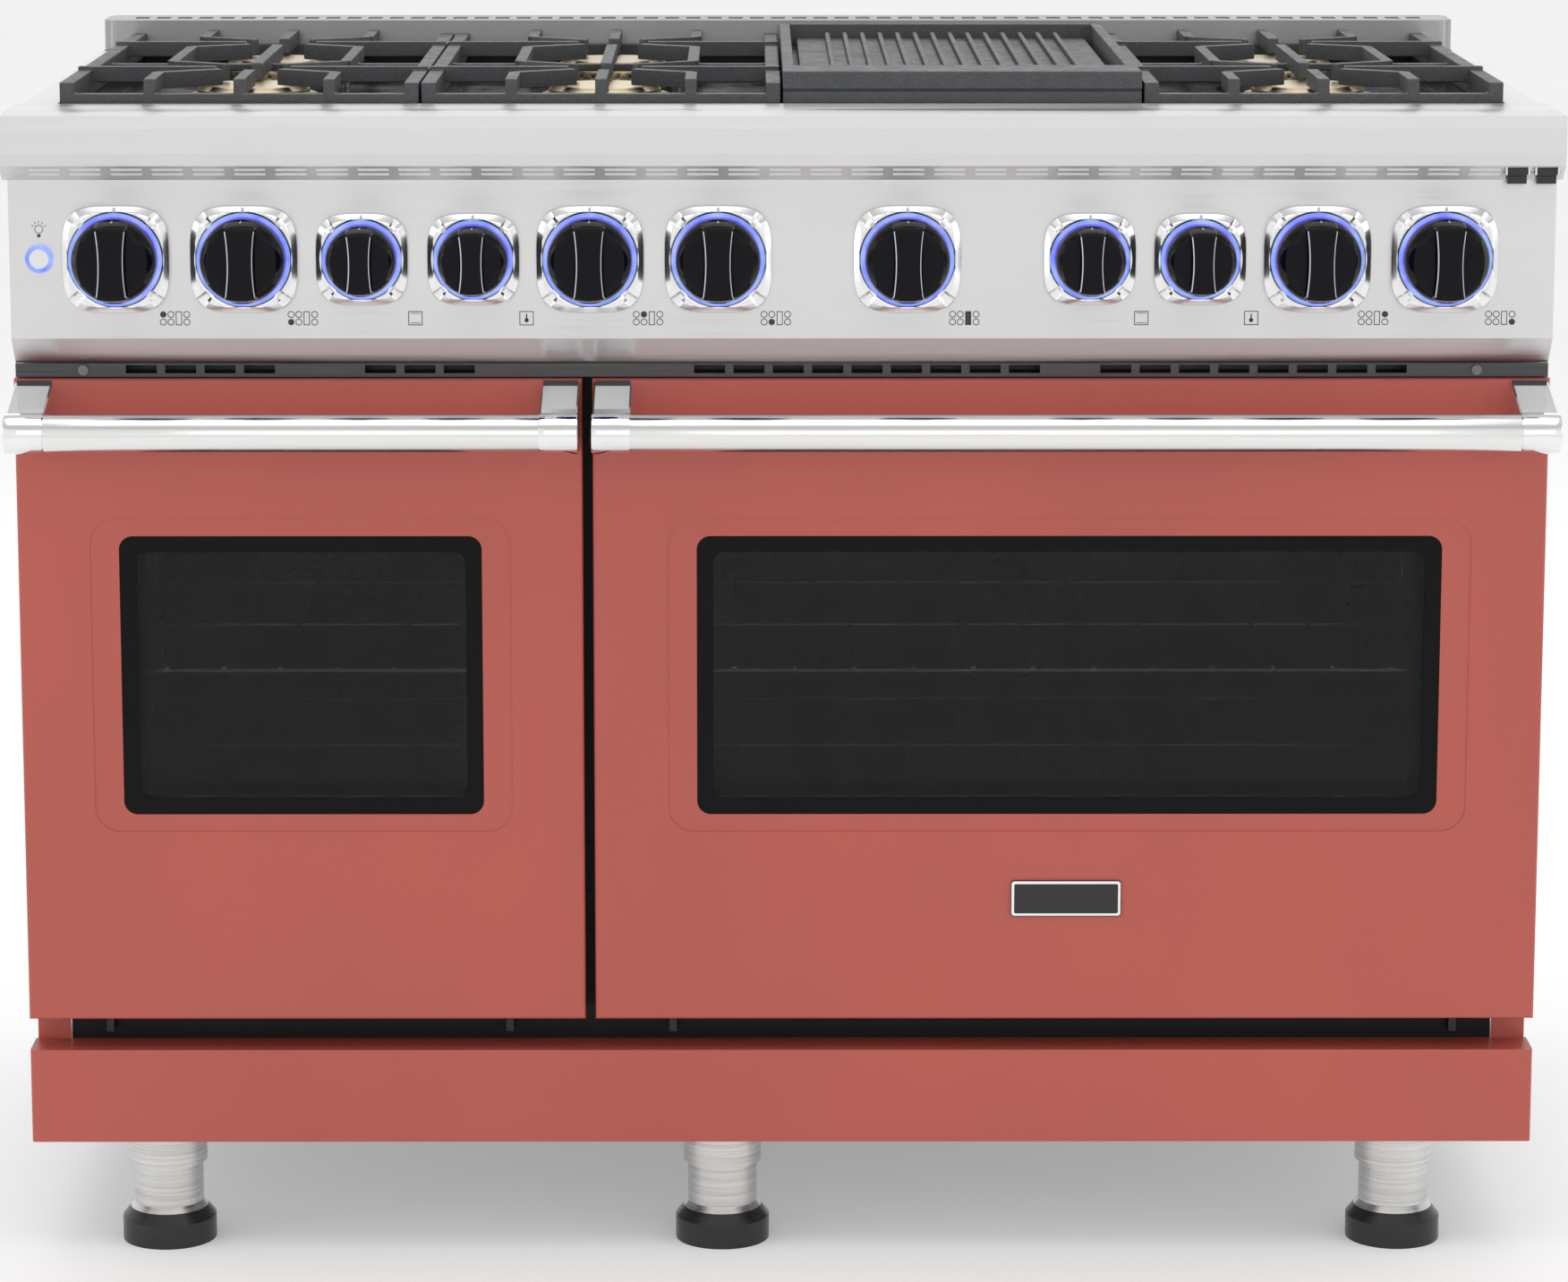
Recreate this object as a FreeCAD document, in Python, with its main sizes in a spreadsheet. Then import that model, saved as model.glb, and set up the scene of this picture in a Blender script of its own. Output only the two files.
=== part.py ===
import FreeCAD, Part
import math
import os

import Sketcher

# Freestanding gas range, 48 inch class: two ovens side by side under a six-burner and griddle
# cooktop. Millimetres, +Z up, +X to the right, the doors face -Y. The origin is on the floor
# under the middle of the overall box.

V = FreeCAD.Vector
doc = FreeCAD.newDocument("GasRange")
sheet = doc.addObject("Spreadsheet::Sheet", "Sizes")

DIMENSIONS = {
    # overall
    "overall_width": 1216.0,
    "overall_depth": 728.7,
    "cooktop_height": 925.0,
    "sheet_metal": 1.5,
    "thin_sheet": 1.2,
    # front stack, from the cooktop down
    "ledge_depth": 104.0,
    "ledge_front": 39.0,
    "ledge_overhang": 28.9,
    "ledge_bulge": 1.5,
    "louvre_drop": 12.4,
    "panel_setback": 16.6,
    "panel_height": 124.6,
    "panel_return_drop": 22.0,
    "panel_return_depth": 20.0,
    "panel_side_inset": 4.5,
    "vent_strip_drop": 11.0,
    "vent_strip_setback": 6.0,
    "door_top_gap": 1.0,
    "body_side_inset": 5.0,
    # louvre and vent slots
    "louvre_slot_length": 24.3,
    "louvre_slot_width": 2.2,
    "louvre_slot_pitch": 32.0,
    "vent_slot_length": 24.5,
    "vent_slot_height": 6.6,
    "vent_slot_pitch": 31.0,
    "vent_row_1": 91.3,
    "vent_row_2": 279.6,
    "vent_row_3": -69.3,
    "vent_row_4": 357.4,
    # doors
    "door_side_inset": 3.4,
    "door_split": -153.5,
    "door_split_gap": 8.0,
    "door_thickness": 34.0,
    "door_gap": 2.35,
    "skin_depth": 20.0,
    "door_edge_radius": 3.0,
    "window_side_left": 80.0,
    "window_side_right": 82.0,
    "window_top_drop": 125.5,
    "window_height": 225.6,
    "window_radius": 11.0,
    "border_side": 23.0,
    "border_top": 14.0,
    "border_radius": 20.0,
    "border_depth": 0.6,
    "glass_thickness": 4.0,
    "glass_lap": 9.0,
    "badge_width": 88.0,
    "badge_height": 29.0,
    "badge_thickness": 2.0,
    "badge_rise": 100.0,
    # door hinges
    "hinge_rise": 4.5,
    "hinge_setback": 6.65,
    "hinge_inset": 62.0,
    "pin_radius": 2.5,
    "pin_length": 26.0,
    "running_fit": 0.05,
    "hinge_plate": 6.0,
    "screw_radius": 4.5,
    "lug_width": 9.0,
    # handles
    "bar_diameter": 30.0,
    "handle_stand_off": 59.0,
    "bar_drop": 34.0,
    "bracket_width": 31.0,
    "bracket_wall": 1.0,
    "bracket_foot": 48.0,
    # floor, legs and kick panel
    "leg_height": 93.0,
    "leg_collar_height": 27.0,
    "leg_collar_diameter": 63.0,
    "leg_post_diameter": 56.0,
    "foot_diameter": 76.0,
    "foot_height": 32.0,
    "leg_side_inset": 108.0,
    "leg_middle": -48.0,
    "leg_front_inset": 45.0,
    "leg_rear_inset": 70.0,
    "kick_height": 76.5,
    "door_bottom_gap": 25.5,
    # cooktop
    "deck_side_trim": 28.0,
    "deck_depth": 504.0,
    "island_trim_depth": 60.0,
    "island_trim_rise": 27.0,
    "island_trim_radius": 12.0,
    "trim_slot_length": 20.0,
    "trim_slot_width": 12.5,
    "trim_slot_pitch": 19.0,
    "tray_rim_drop": 4.0,
    "tray_depth": 16.0,
    "tray_rim": 12.0,
    "burner_from_front": 124.0,
    "burner_spacing": 248.0,
    "burner_throat": 30.0,
    "burner_base_radius": 46.0,
    "burner_base_height": 6.0,
    "burner_head_radius": 52.0,
    "burner_head_height": 11.0,
    "burner_cap_radius": 46.0,
    "burner_cap_height": 7.0,
    "port_count": 30,
    "port_diameter": 2.4,
    "igniter_radius": 2.5,
    # grates
    "grate_gap": 2.0,
    "grate_end_gap": 5.0,
    "grate_rail": 11.5,
    "grate_rise": 19.0,
    "grate_low_rise": 7.0,
    "grate_finger": 9.0,
    "grate_finger_height": 13.0,
    "burner_clear_radius": 30.0,
    "lift_clearance": 0.3,
    # griddle
    "griddle_rise": 25.0,
    "griddle_wall": 9.0,
    "griddle_lip_depth": 60.0,
    "griddle_front_gap": 5.0,
    "griddle_rear_gap": 9.0,
    "griddle_plate_rise": 13.0,
    "griddle_plate_thickness": 8.0,
    "griddle_rib_height": 6.0,
    "griddle_rib_width": 4.0,
    "griddle_rib_pitch": 15.5,
    "griddle_side_gap": 6.0,
    # controls
    "knob_height": 61.6,
    "knob_row_left": 88.0,
    "knob_step_1": 100.0,
    "knob_step_2": 92.0,
    "knob_step_3": 87.0,
    "knob_step_4": 91.0,
    "knob_step_5": 100.0,
    "griddle_knob": 97.5,
    "knob_row_right": 91.0,
    "knob_step_6": 99.5,
    "knob_step_7": 91.5,
    "knob_step_8": 86.0,
    "bezel_big": 84.5,
    "bezel_small": 72.5,
    "bezel_thickness": 9.0,
    "ring_width": 5.0,
    "ring_big_radius": 36.0,
    "ring_small_radius": 30.5,
    "ring_depth": 6.0,
    "knob_big_radius": 33.0,
    "knob_small_radius": 27.5,
    "knob_clearance": 1.0,
    "knob_skirt": 12.0,
    "knob_grip": 17.0,
    "knob_grip_end": 27.0,
    "knob_grip_waist": 21.0,
    "stem_radius": 4.0,
    "stem_reach": 18.0,
    "valve_size": 26.0,
    "valve_setback": 14.0,
    "manifold_radius": 10.0,
    "button_radius": 7.5,
    "button_ring_radius": 11.0,
    "button_stand": 4.0,
    "button_ring_stand": 3.0,
    "button_inset": 28.0,
    "rocker_width": 15.0,
    "rocker_radius": 5.2,
    "rocker_lever": 5.0,
    "rocker_first": 37.0,
    "rocker_pitch": 23.0,
    "trunnion_radius": 1.5,
    # ovens
    "cavity_side": 55.0,
    "cavity_floor_rise": 42.0,
    "cavity_top_drop": 27.0,
    "cavity_depth": 470.0,
    "gasket_width": 11.0,
    "gasket_thickness": 2.0,
    "guide_radius": 2.5,
    "guide_inset": 7.0,
    "rack_frame_radius": 3.0,
    "rack_wire_radius": 1.8,
    "rack_inset": 5.5,
    "rack_front_gap": 24.0,
    "rack_first_rise": 120.0,
    "rack_spacing": 105.0,
    "rack_wire_pitch": 45.0,
    "baffle_gap": 45.0,
    "baffle_side": 30.0,
    "fan_radius": 62.0,
    "fan_depth": 24.0,
    "shaft_radius": 4.0,
    "motor_radius": 40.0,
    "motor_length": 55.0,
    # rear services
    "base_height": 40.0,
    "inlet_side": 120.0,
    "gland_pitch": 100.0,
    "service_rise": 60.0,
    "service_margin": 40.0,
    "inlet_radius": 10.5,
    "inlet_bore": 7.5,
    "gland_radius": 11.0,
    "gland_bore": 4.5,
}


class Size:
    """A length together with the spreadsheet expression that gives it."""

    def __init__(self, value, text):
        self.value = value
        self.text = text

    def __add__(self, other):
        other = size(other)
        return Size(self.value + other.value, f"({self.text} + {other.text})")

    def __radd__(self, other):
        return size(other) + self

    def __sub__(self, other):
        other = size(other)
        return Size(self.value - other.value, f"({self.text} - {other.text})")

    def __rsub__(self, other):
        return size(other) - self

    def __mul__(self, factor):
        return Size(self.value * factor, f"({self.text} * {factor})")

    def __truediv__(self, divisor):
        return Size(self.value / divisor, f"({self.text} / {divisor})")

    def __neg__(self):
        return Size(-self.value, f"(-1 * {self.text})")


def size(value):
    """Any number as a Size."""
    if isinstance(value, Size):
        return value
    return Size(float(value), f"({float(value)})")


class Dimensions:
    """The named sizes, each an attribute bound to its cell."""

    def __init__(self, table):
        for row, (name, value) in enumerate(table.items(), start=1):
            sheet.set(f"A{row}", name)
            sheet.set(f"B{row}", str(value))
            sheet.setAlias(f"B{row}", name)
            setattr(self, name, Size(float(value), f"Sizes.{name}"))


D = Dimensions(DIMENSIONS)
doc.recompute()


# ---------------------------------------------------------------- building blocks


def bind(target, prop, value):
    """Sets a property, and ties it to the sheet when the value comes from there."""
    value = size(value)
    if "Sizes." in value.text:
        target.setExpression(prop, value.text)
    else:
        setattr(target, prop, value.value)


def place(target, x=0, y=0, z=0, axis=V(0, 0, 1), angle=0):
    target.Placement = FreeCAD.Placement(
        V(size(x).value, size(y).value, size(z).value), FreeCAD.Rotation(axis, angle)
    )
    for letter, value in (("x", x), ("y", y), ("z", z)):
        if "Sizes." in size(value).text:
            target.setExpression(f"Placement.Base.{letter}", size(value).text)
    return target


def box(x0, x1, y0, y1, z0, z1):
    """A block between two corners."""
    solid = doc.addObject("Part::Box", "Block")
    bind(solid, "Length", size(x1) - x0)
    bind(solid, "Width", size(y1) - y0)
    bind(solid, "Height", size(z1) - z0)
    return place(solid, x0, y0, z0)


AXES = {
    "X": (V(0, 1, 0), 90),
    "Y": (V(1, 0, 0), -90),
    "Z": (V(0, 0, 1), 0),
}


def rod(along, radius, length, x, y, z):
    """A round bar that starts at a point and runs along an axis."""
    solid = doc.addObject("Part::Cylinder", "Rod")
    bind(solid, "Radius", radius)
    bind(solid, "Height", length)
    axis, angle = AXES[along]
    return place(solid, x, y, z, axis, angle)


def cone(radius_low, radius_high, height, x, y, z):
    solid = doc.addObject("Part::Cone", "Cone")
    bind(solid, "Radius1", radius_low)
    bind(solid, "Radius2", radius_high)
    bind(solid, "Height", height)
    return place(solid, x, y, z)


def bar(x0, y0, x1, y1, width, z0, z1):
    """A straight flat-sided bar in plan, from one point to another."""
    dx = size(x1).value - size(x0).value
    dy = size(y1).value - size(y0).value
    angle = math.atan2(dy, dx)
    half = size(width) / 2
    solid = doc.addObject("Part::Box", "Bar")
    run_x, run_y = size(x1) - x0, size(y1) - y0
    solid.setExpression("Length", f"sqrt(({run_x.text})^2 + ({run_y.text})^2)")
    bind(solid, "Width", width)
    bind(solid, "Height", size(z1) - z0)
    corner_x = size(x0) + half * math.sin(angle)
    corner_y = size(y0) - half * math.cos(angle)
    return place(solid, corner_x, corner_y, z0, V(0, 0, 1), math.degrees(angle))


def cut(base, *tools):
    for tool in tools:
        result = doc.addObject("Part::Cut", "Cut")
        result.Base = base
        result.Tool = tool
        base = result
    return base


def fuse(*solids):
    result = doc.addObject("Part::MultiFuse", "Joined")
    result.Shapes = list(solids)
    return result


def group(name, solids):
    """Separate solids that share one node."""
    result = doc.addObject("Part::Compound", name)
    result.Links = list(solids)
    return result


def origin_plane(body, role):
    return [item for item in body.Origin.OriginFeatures if item.Role == role][0]


def new_body(name="Body"):
    return doc.addObject("PartDesign::Body", name)


def sketch(body, plane, offset=0):
    """A sketch parallel to an origin plane; XZ sketches look along +Y."""
    result = body.newObject("Sketcher::SketchObject", "Sketch")
    result.AttachmentSupport = [(origin_plane(body, f"{plane}_Plane"), "")]
    result.MapMode = "FlatFace"
    shift = -size(offset) if plane == "XZ" else size(offset)
    result.AttachmentOffset = FreeCAD.Placement(V(0, 0, shift.value), FreeCAD.Rotation())
    if "Sizes." in shift.text:
        result.setExpression("AttachmentOffset.Base.z", shift.text)
    return result


def fix(target, kind, geometry, point, value):
    value = size(value)
    index = target.addConstraint(
        Sketcher.Constraint(kind, -1, 1, geometry, point, value.value)
    )
    if "Sizes." in value.text:
        target.setExpression(f"Constraints[{index}]", value.text)


def outline(target, points):
    """A closed chain of straight lines, each corner held to its two sizes."""
    first = target.GeometryCount
    count = len(points)
    spots = [V(size(u).value, size(v).value, 0) for u, v in points]
    for index in range(count):
        target.addGeometry(Part.LineSegment(spots[index], spots[(index + 1) % count]))
    for index in range(count):
        following = first + (index + 1) % count
        target.addConstraint(
            Sketcher.Constraint("Coincident", first + index, 2, following, 1)
        )
    for index, (u, v) in enumerate(points):
        fix(target, "DistanceX", first + index, 1, u)
        fix(target, "DistanceY", first + index, 1, v)


def rectangle(target, u0, u1, v0, v1):
    outline(target, [(u0, v0), (u1, v0), (u1, v1), (u0, v1)])


def circle(target, u, v, radius):
    radius = size(radius)
    index = target.addGeometry(
        Part.Circle(V(size(u).value, size(v).value, 0), V(0, 0, 1), radius.value)
    )
    fix(target, "DistanceX", index, 3, u)
    fix(target, "DistanceY", index, 3, v)
    held = target.addConstraint(Sketcher.Constraint("Radius", index, radius.value))
    if "Sizes." in radius.text:
        target.setExpression(f"Constraints[{held}]", radius.text)


def pad(body, profile, length, backwards=False):
    feature = body.newObject("PartDesign::Pad", "Pad")
    feature.Profile = profile
    bind(feature, "Length", length)
    feature.Reversed = backwards
    doc.recompute()
    return feature


def pocket(body, profile, depth, backwards=False):
    """Removes material; the volume must drop, or the direction is wrong."""
    before = body.Shape.Volume
    feature = body.newObject("PartDesign::Pocket", "Pocket")
    feature.Profile = profile
    bind(feature, "Length", depth)
    feature.Reversed = backwards
    doc.recompute()
    if body.Shape.Volume >= before - 0.01:
        raise RuntimeError(f"{body.Name}: a pocket removes nothing")
    return feature


def fitting(room, pitch):
    """How many repeats, one pitch apart, a length has room for."""
    return int(room.value // DIMENSIONS[pitch]) + 1


def repeat(body, feature, profile, count, pitch, along="H_Axis"):
    pattern = body.newObject("PartDesign::LinearPattern", "Pattern")
    pattern.Originals = [feature]
    pattern.Direction = (profile, [along])
    bind(pattern, "Length", size(pitch) * (count - 1))
    pattern.Occurrences = count
    body.Tip = pattern
    doc.recompute()
    return pattern


def repeat_round(body, feature, profile, count):
    """Repeats a feature about the normal through a sketch's origin."""
    pattern = body.newObject("PartDesign::PolarPattern", "Pattern")
    pattern.Originals = [feature]
    pattern.Axis = (profile, ["N_Axis"])
    pattern.Angle = 360
    if isinstance(count, Size):
        pattern.setExpression("Occurrences", count.text)
    else:
        pattern.Occurrences = count
    body.Tip = pattern
    doc.recompute()
    return pattern


def edges_where(feature, test):
    """Names of the edges whose ends and direction pass a test."""
    names = []
    for index, edge in enumerate(feature.Shape.Edges, start=1):
        if len(edge.Vertexes) == 2:
            a, b = edge.Vertexes[0].Point, edge.Vertexes[1].Point
            if test(a, b):
                names.append(f"Edge{index}")
    return names


def soften(body, feature, radius, test, kind="Fillet"):
    """Fillets or chamfers the edges that pass a test."""
    result = body.newObject(f"PartDesign::{kind}", kind)
    result.Base = (feature, edges_where(feature, test))
    bind(result, "Radius" if kind == "Fillet" else "Size", radius)
    doc.recompute()
    return result


def near(a, b):
    return abs(a - b) < 0.01


def runs_along(letter):
    """A test for edges parallel to one axis."""
    others = [other for other in "xyz" if other != letter]
    return lambda a, b: all(near(getattr(a, o), getattr(b, o)) for o in others)


subparts = []


def subpart(name, item):
    item.Label = name
    subparts.append(item)
    return item


def extruded(name, points, x0, x1):
    """A profile in the YZ plane, carried along X."""
    body = new_body(name)
    profile = sketch(body, "YZ", x0)
    outline(profile, points)
    pad(body, profile, size(x1) - x0)
    return body


# ---------------------------------------------------------------- shared positions

half_width = D.overall_width / 2
half_depth = D.overall_depth / 2
rear = half_depth
door_front = -half_depth + D.bracket_wall + D.bar_diameter / 2 + D.handle_stand_off
ledge_y = door_front - D.ledge_overhang
panel_y = ledge_y + D.panel_setback
door_back = door_front + D.door_thickness
carcass_y = door_back + D.door_gap
ledge_rear = ledge_y + D.ledge_depth
deck_rear = ledge_rear + D.deck_depth

body_half = half_width - D.body_side_inset
panel_half = half_width - D.panel_side_inset
door_half = half_width - D.door_side_inset
deck_half = body_half - D.deck_side_trim

top = D.cooktop_height
louvre_top = top - D.ledge_front
panel_top = louvre_top - D.louvre_drop
panel_bottom = panel_top - D.panel_height
return_bottom = panel_bottom - D.panel_return_drop
strip_bottom = return_bottom - D.vent_strip_drop
door_top = strip_bottom - D.door_top_gap
kick_top = D.leg_height + D.kick_height
door_bottom = kick_top + D.door_bottom_gap
knob_z = panel_top - D.knob_height

split_left = D.door_split - D.door_split_gap / 2
split_right = D.door_split + D.door_split_gap / 2
DOORS = {"left": (-door_half, split_left), "right": (split_right, door_half)}
cavity_floor = door_bottom + D.cavity_floor_rise
cavity_top = door_top - D.cavity_top_drop
CAVITIES = {
    side: (x0 + D.cavity_side, x1 - D.cavity_side) for side, (x0, x1) in DOORS.items()
}
cavity_rear = carcass_y + D.cavity_depth
bar_y = door_front - D.handle_stand_off
bar_z = door_top - D.bar_drop

# ---------------------------------------------------------------- carcass

# Each side is one sheet: a wall with front and rear returns, and a trim turned in at the top
# beside the burners.
sides = []
for sign in (-1, 1):
    side = new_body()
    wall = sketch(side, "XY", D.leg_height)
    outer, inner = body_half * sign, (body_half - D.thin_sheet) * sign
    turned = (body_half - D.deck_side_trim) * sign
    outline(
        wall,
        [
            (outer, carcass_y),
            (turned, carcass_y),
            (turned, carcass_y + D.thin_sheet),
            (inner, carcass_y + D.thin_sheet),
            (inner, rear - D.thin_sheet * 2),
            (turned, rear - D.thin_sheet * 2),
            (turned, rear - D.thin_sheet),
            (outer, rear - D.thin_sheet),
        ],
    )
    pad(side, wall, panel_top - D.leg_height)
    cheek = sketch(side, "XY", D.leg_height)
    outline(
        cheek,
        [
            (outer, ledge_rear),
            (inner, ledge_rear),
            (inner, rear - D.thin_sheet),
            (outer, rear - D.thin_sheet),
        ],
    )
    pad(side, cheek, top - D.leg_height)
    trim = sketch(side, "XY", top - D.thin_sheet)
    outline(
        trim,
        [
            (outer, ledge_rear),
            (turned, ledge_rear),
            (turned, deck_rear),
            (outer, deck_rear),
        ],
    )
    pad(side, trim, D.thin_sheet)
    sides.append(side)
subpart("side_panels", group("side_panels", sides))

# The back is an upper sheet with a flange under the island trim, and two lower sheets that
# leave an open service bay between them.
service_y = rear - 40
inlet_x = body_half - D.inlet_side
gland_x = inlet_x - D.gland_pitch
service_z = D.leg_height + D.service_rise
bay_x0, bay_x1 = gland_x - D.service_margin, inlet_x + D.service_margin
bay_z = service_z + D.service_margin
back_front = rear - D.thin_sheet
upper = fuse(
    box(-body_half, body_half, back_front, rear, bay_z, top),
    box(-body_half + D.sheet_metal, body_half - D.sheet_metal,
        deck_rear + D.island_trim_depth, rear, top - D.thin_sheet, top),
)
lower_left = box(-body_half, bay_x0, back_front, rear, D.leg_height, bay_z)
lower_right = box(bay_x1, body_half, back_front, rear, D.leg_height, bay_z)
screw_x = body_half - D.deck_side_trim / 2
screw_spots = [(x, z) for x in (-screw_x, screw_x) for z in (D.leg_height + 30, top - 90)]
screw_holes = [
    rod("Y", D.screw_radius + 0.3, D.thin_sheet * 3, x, back_front - D.thin_sheet, z)
    for x, z in screw_spots
]
back_sheets = [
    cut(upper, screw_holes[1], screw_holes[3]), cut(lower_left, screw_holes[0]),
    cut(lower_right, screw_holes[2]),
]
subpart("back_panel", group("back_panel", back_sheets))

base = new_body("base_pan")
floor_sheet = sketch(base, "XY", D.leg_height)
rectangle(floor_sheet, -body_half + D.thin_sheet, body_half - D.thin_sheet,
          carcass_y + D.sheet_metal, rear - D.thin_sheet * 2.5)
pad(base, floor_sheet, D.base_height)
hollow = sketch(base, "XY", D.leg_height + D.base_height)
rectangle(hollow, -body_half + D.thin_sheet + D.sheet_metal,
          body_half - D.thin_sheet - D.sheet_metal,
          carcass_y + D.sheet_metal * 2, rear - D.thin_sheet * 2.5 - D.sheet_metal)
pocket(base, hollow, D.base_height - D.sheet_metal)
subpart("base_pan", base)

kick = new_body("kick_panel")
kick_outer = sketch(kick, "XY", D.leg_height)
rectangle(kick_outer, -door_half, door_half, door_front, carcass_y)
kick_pad = pad(kick, kick_outer, D.kick_height)
soften(
    kick, kick_pad, D.door_edge_radius,
    lambda a, b: runs_along("z")(a, b) and near(a.y, door_front.value),
)
kick_hollow = sketch(kick, "XY", kick_top - D.sheet_metal)
rectangle(kick_hollow, -door_half + D.sheet_metal, door_half - D.sheet_metal,
          door_front + D.sheet_metal, carcass_y)
pocket(kick, kick_hollow, D.kick_height)
subpart("kick_panel", kick)

# Six levelling legs: a turned steel post with a collar against the base, and a black foot.
legs = []
leg_columns = (-half_width + D.leg_side_inset, D.leg_middle, half_width - D.leg_side_inset)
leg_rows = (door_front + D.leg_front_inset, rear - D.leg_rear_inset)
for leg_x in leg_columns:
    for leg_y in leg_rows:
        collar = rod("Z", D.leg_collar_diameter / 2, D.leg_collar_height, leg_x, leg_y,
                     D.leg_height - D.leg_collar_height)
        post = rod("Z", D.leg_post_diameter / 2,
                   D.leg_height - D.leg_collar_height - D.foot_height, leg_x, leg_y,
                   D.foot_height)
        legs.append(fuse(collar, post))
        pad_disc = rod("Z", D.foot_diameter / 2, D.foot_height * 0.6, leg_x, leg_y, 0)
        shoulder = cone(D.foot_diameter / 2, D.leg_post_diameter / 2, D.foot_height * 0.4,
                        leg_x, leg_y, D.foot_height * 0.6)
        legs.append(fuse(pad_disc, shoulder))
subpart("levelling_legs", group("levelling_legs", legs))

# ---------------------------------------------------------------- landing ledge

t = D.sheet_metal
ledge = extruded(
    "ledge_sheet",
    [
        (ledge_y + D.ledge_bulge, louvre_top),
        (ledge_y, louvre_top + D.ledge_front * 0.25),
        (ledge_y, top - D.ledge_front * 0.25),
        (ledge_y + D.ledge_bulge, top),
        (ledge_rear, top),
        (ledge_rear, panel_top),
        (panel_y, panel_top),
    ],
    -half_width,
    half_width,
)
inside = sketch(ledge, "YZ", -half_width + t)
outline(
    inside,
    [
        (ledge_y + D.ledge_bulge + t, louvre_top + t / 2),
        (ledge_y + D.ledge_bulge + t, top - t),
        (ledge_rear - t, top - t),
        (ledge_rear - t, panel_top - 1),
        (panel_y + t * 3, panel_top - 1),
        (panel_y + t * 3, panel_top),
    ],
)
pocket(ledge, inside, D.overall_width - t * 2, backwards=True)
rocker_centres = (half_width - D.rocker_first, half_width - D.rocker_first + D.rocker_pitch)
louvre_row = sketch(ledge, "XY", panel_top - 5)
slot_start = -half_width + 22
for step in (4.2, 9.2):
    rectangle(louvre_row, slot_start, slot_start + D.louvre_slot_length, ledge_y + step,
              ledge_y + step + D.louvre_slot_width)
louvre_cut = pocket(ledge, louvre_row, D.louvre_drop + 9, backwards=True)
louvre_room = rocker_centres[0] - D.rocker_width / 2 - slot_start - D.louvre_slot_length
repeat(ledge, louvre_cut, louvre_row, fitting(louvre_room, "louvre_slot_pitch"),
       D.louvre_slot_pitch)

# Two rocker switches hang in the louvre strip on small bearing cheeks.
rocker_y = ledge_y + D.panel_setback * 0.55
rocker_z = panel_top + D.louvre_drop * 0.45 + 2.5
mouths = sketch(ledge, "XY", panel_top - 5)
for centre in rocker_centres:
    rectangle(mouths, centre - D.rocker_width / 2 - 0.5, centre + D.rocker_width / 2 + 0.5,
              ledge_y + 3.4, panel_y - 1.2)
pocket(ledge, mouths, D.louvre_drop + 9, backwards=True)
cheeks = []
for centre in rocker_centres:
    for sign in (-1, 1):
        inner_x = centre + (D.rocker_width / 2 + 0.5) * sign
        outer_x = inner_x + D.sheet_metal * sign
        low, high = (inner_x, outer_x) if sign > 0 else (outer_x, inner_x)
        cheeks.append(box(low, high, ledge_y + 3, panel_y - 2, rocker_z - 3, rocker_z + 6))
bores = [
    rod("X", D.trunnion_radius + D.running_fit, D.rocker_width + 8,
        centre - D.rocker_width / 2 - 4, rocker_y, rocker_z)
    for centre in rocker_centres
]
subpart("landing_ledge", cut(fuse(ledge, *cheeks), *bores))

for side, centre in zip(("left", "right"), rocker_centres):
    barrel = rod("X", D.rocker_radius, D.rocker_width, centre - D.rocker_width / 2,
                 rocker_y, rocker_z)
    trunnion = rod("X", D.trunnion_radius, D.rocker_width + 3.2,
                   centre - D.rocker_width / 2 - 1.6, rocker_y, rocker_z)
    lever = box(centre - D.rocker_width / 2, centre + D.rocker_width / 2, rocker_y - 2.5,
                rocker_y + 2.5, rocker_z - D.rocker_radius - D.rocker_lever, rocker_z)
    subpart(f"rocker_switch_{side}", fuse(barrel, trunnion, lever))

# ---------------------------------------------------------------- control panel

return_back = panel_y + D.panel_return_depth
panel = extruded(
    "control_panel",
    [
        (panel_y, panel_top),
        (panel_y, panel_bottom),
        (return_back, return_bottom),
        (carcass_y, return_bottom),
        (carcass_y, panel_top),
    ],
    -panel_half,
    panel_half,
)
panel_inside = sketch(panel, "YZ", -panel_half + t)
outline(
    panel_inside,
    [
        (panel_y + t, panel_top),
        (panel_y + t, panel_bottom + t * 0.5),
        (return_back + t, return_bottom),
        (carcass_y, return_bottom),
        (carcass_y, panel_top),
    ],
)
pocket(panel, panel_inside, (panel_half - t) * 2, backwards=True)

# Eleven controls: six burners, the griddle, and a selector and thermostat for each oven. The
# left six are set out from the left end, the right four from the right end, and the
# griddle's from the middle.
CONTROLS = []
x = -half_width + D.knob_row_left
for name, grade, step in (
    ("knob_burner_left_rear", "big", D.knob_step_1),
    ("knob_burner_left_front", "big", D.knob_step_2),
    ("knob_selector_left", "small", D.knob_step_3),
    ("knob_thermostat_left", "small", D.knob_step_4),
    ("knob_burner_middle_rear", "big", D.knob_step_5),
    ("knob_burner_middle_front", "big", 0),
):
    CONTROLS.append((name, x, grade))
    x = x + step
CONTROLS.append(("knob_griddle", size(0) + D.griddle_knob, "big"))
x = half_width - D.knob_row_right
for name, grade, step in (
    ("knob_burner_right_front", "big", D.knob_step_6),
    ("knob_burner_right_rear", "big", D.knob_step_7),
    ("knob_thermostat_right", "small", D.knob_step_8),
    ("knob_selector_right", "small", 0),
):
    CONTROLS.append((name, x, grade))
    x = x - step
button_x = -half_width + D.button_inset
holes = sketch(panel, "XZ", panel_y - 1)
for name, x, grade in CONTROLS:
    circle(holes, x, knob_z, D.stem_radius + 3)
circle(holes, button_x, knob_z, D.button_radius + 1.5)
pocket(panel, holes, D.sheet_metal + 3)
subpart("control_panel", panel)

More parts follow.
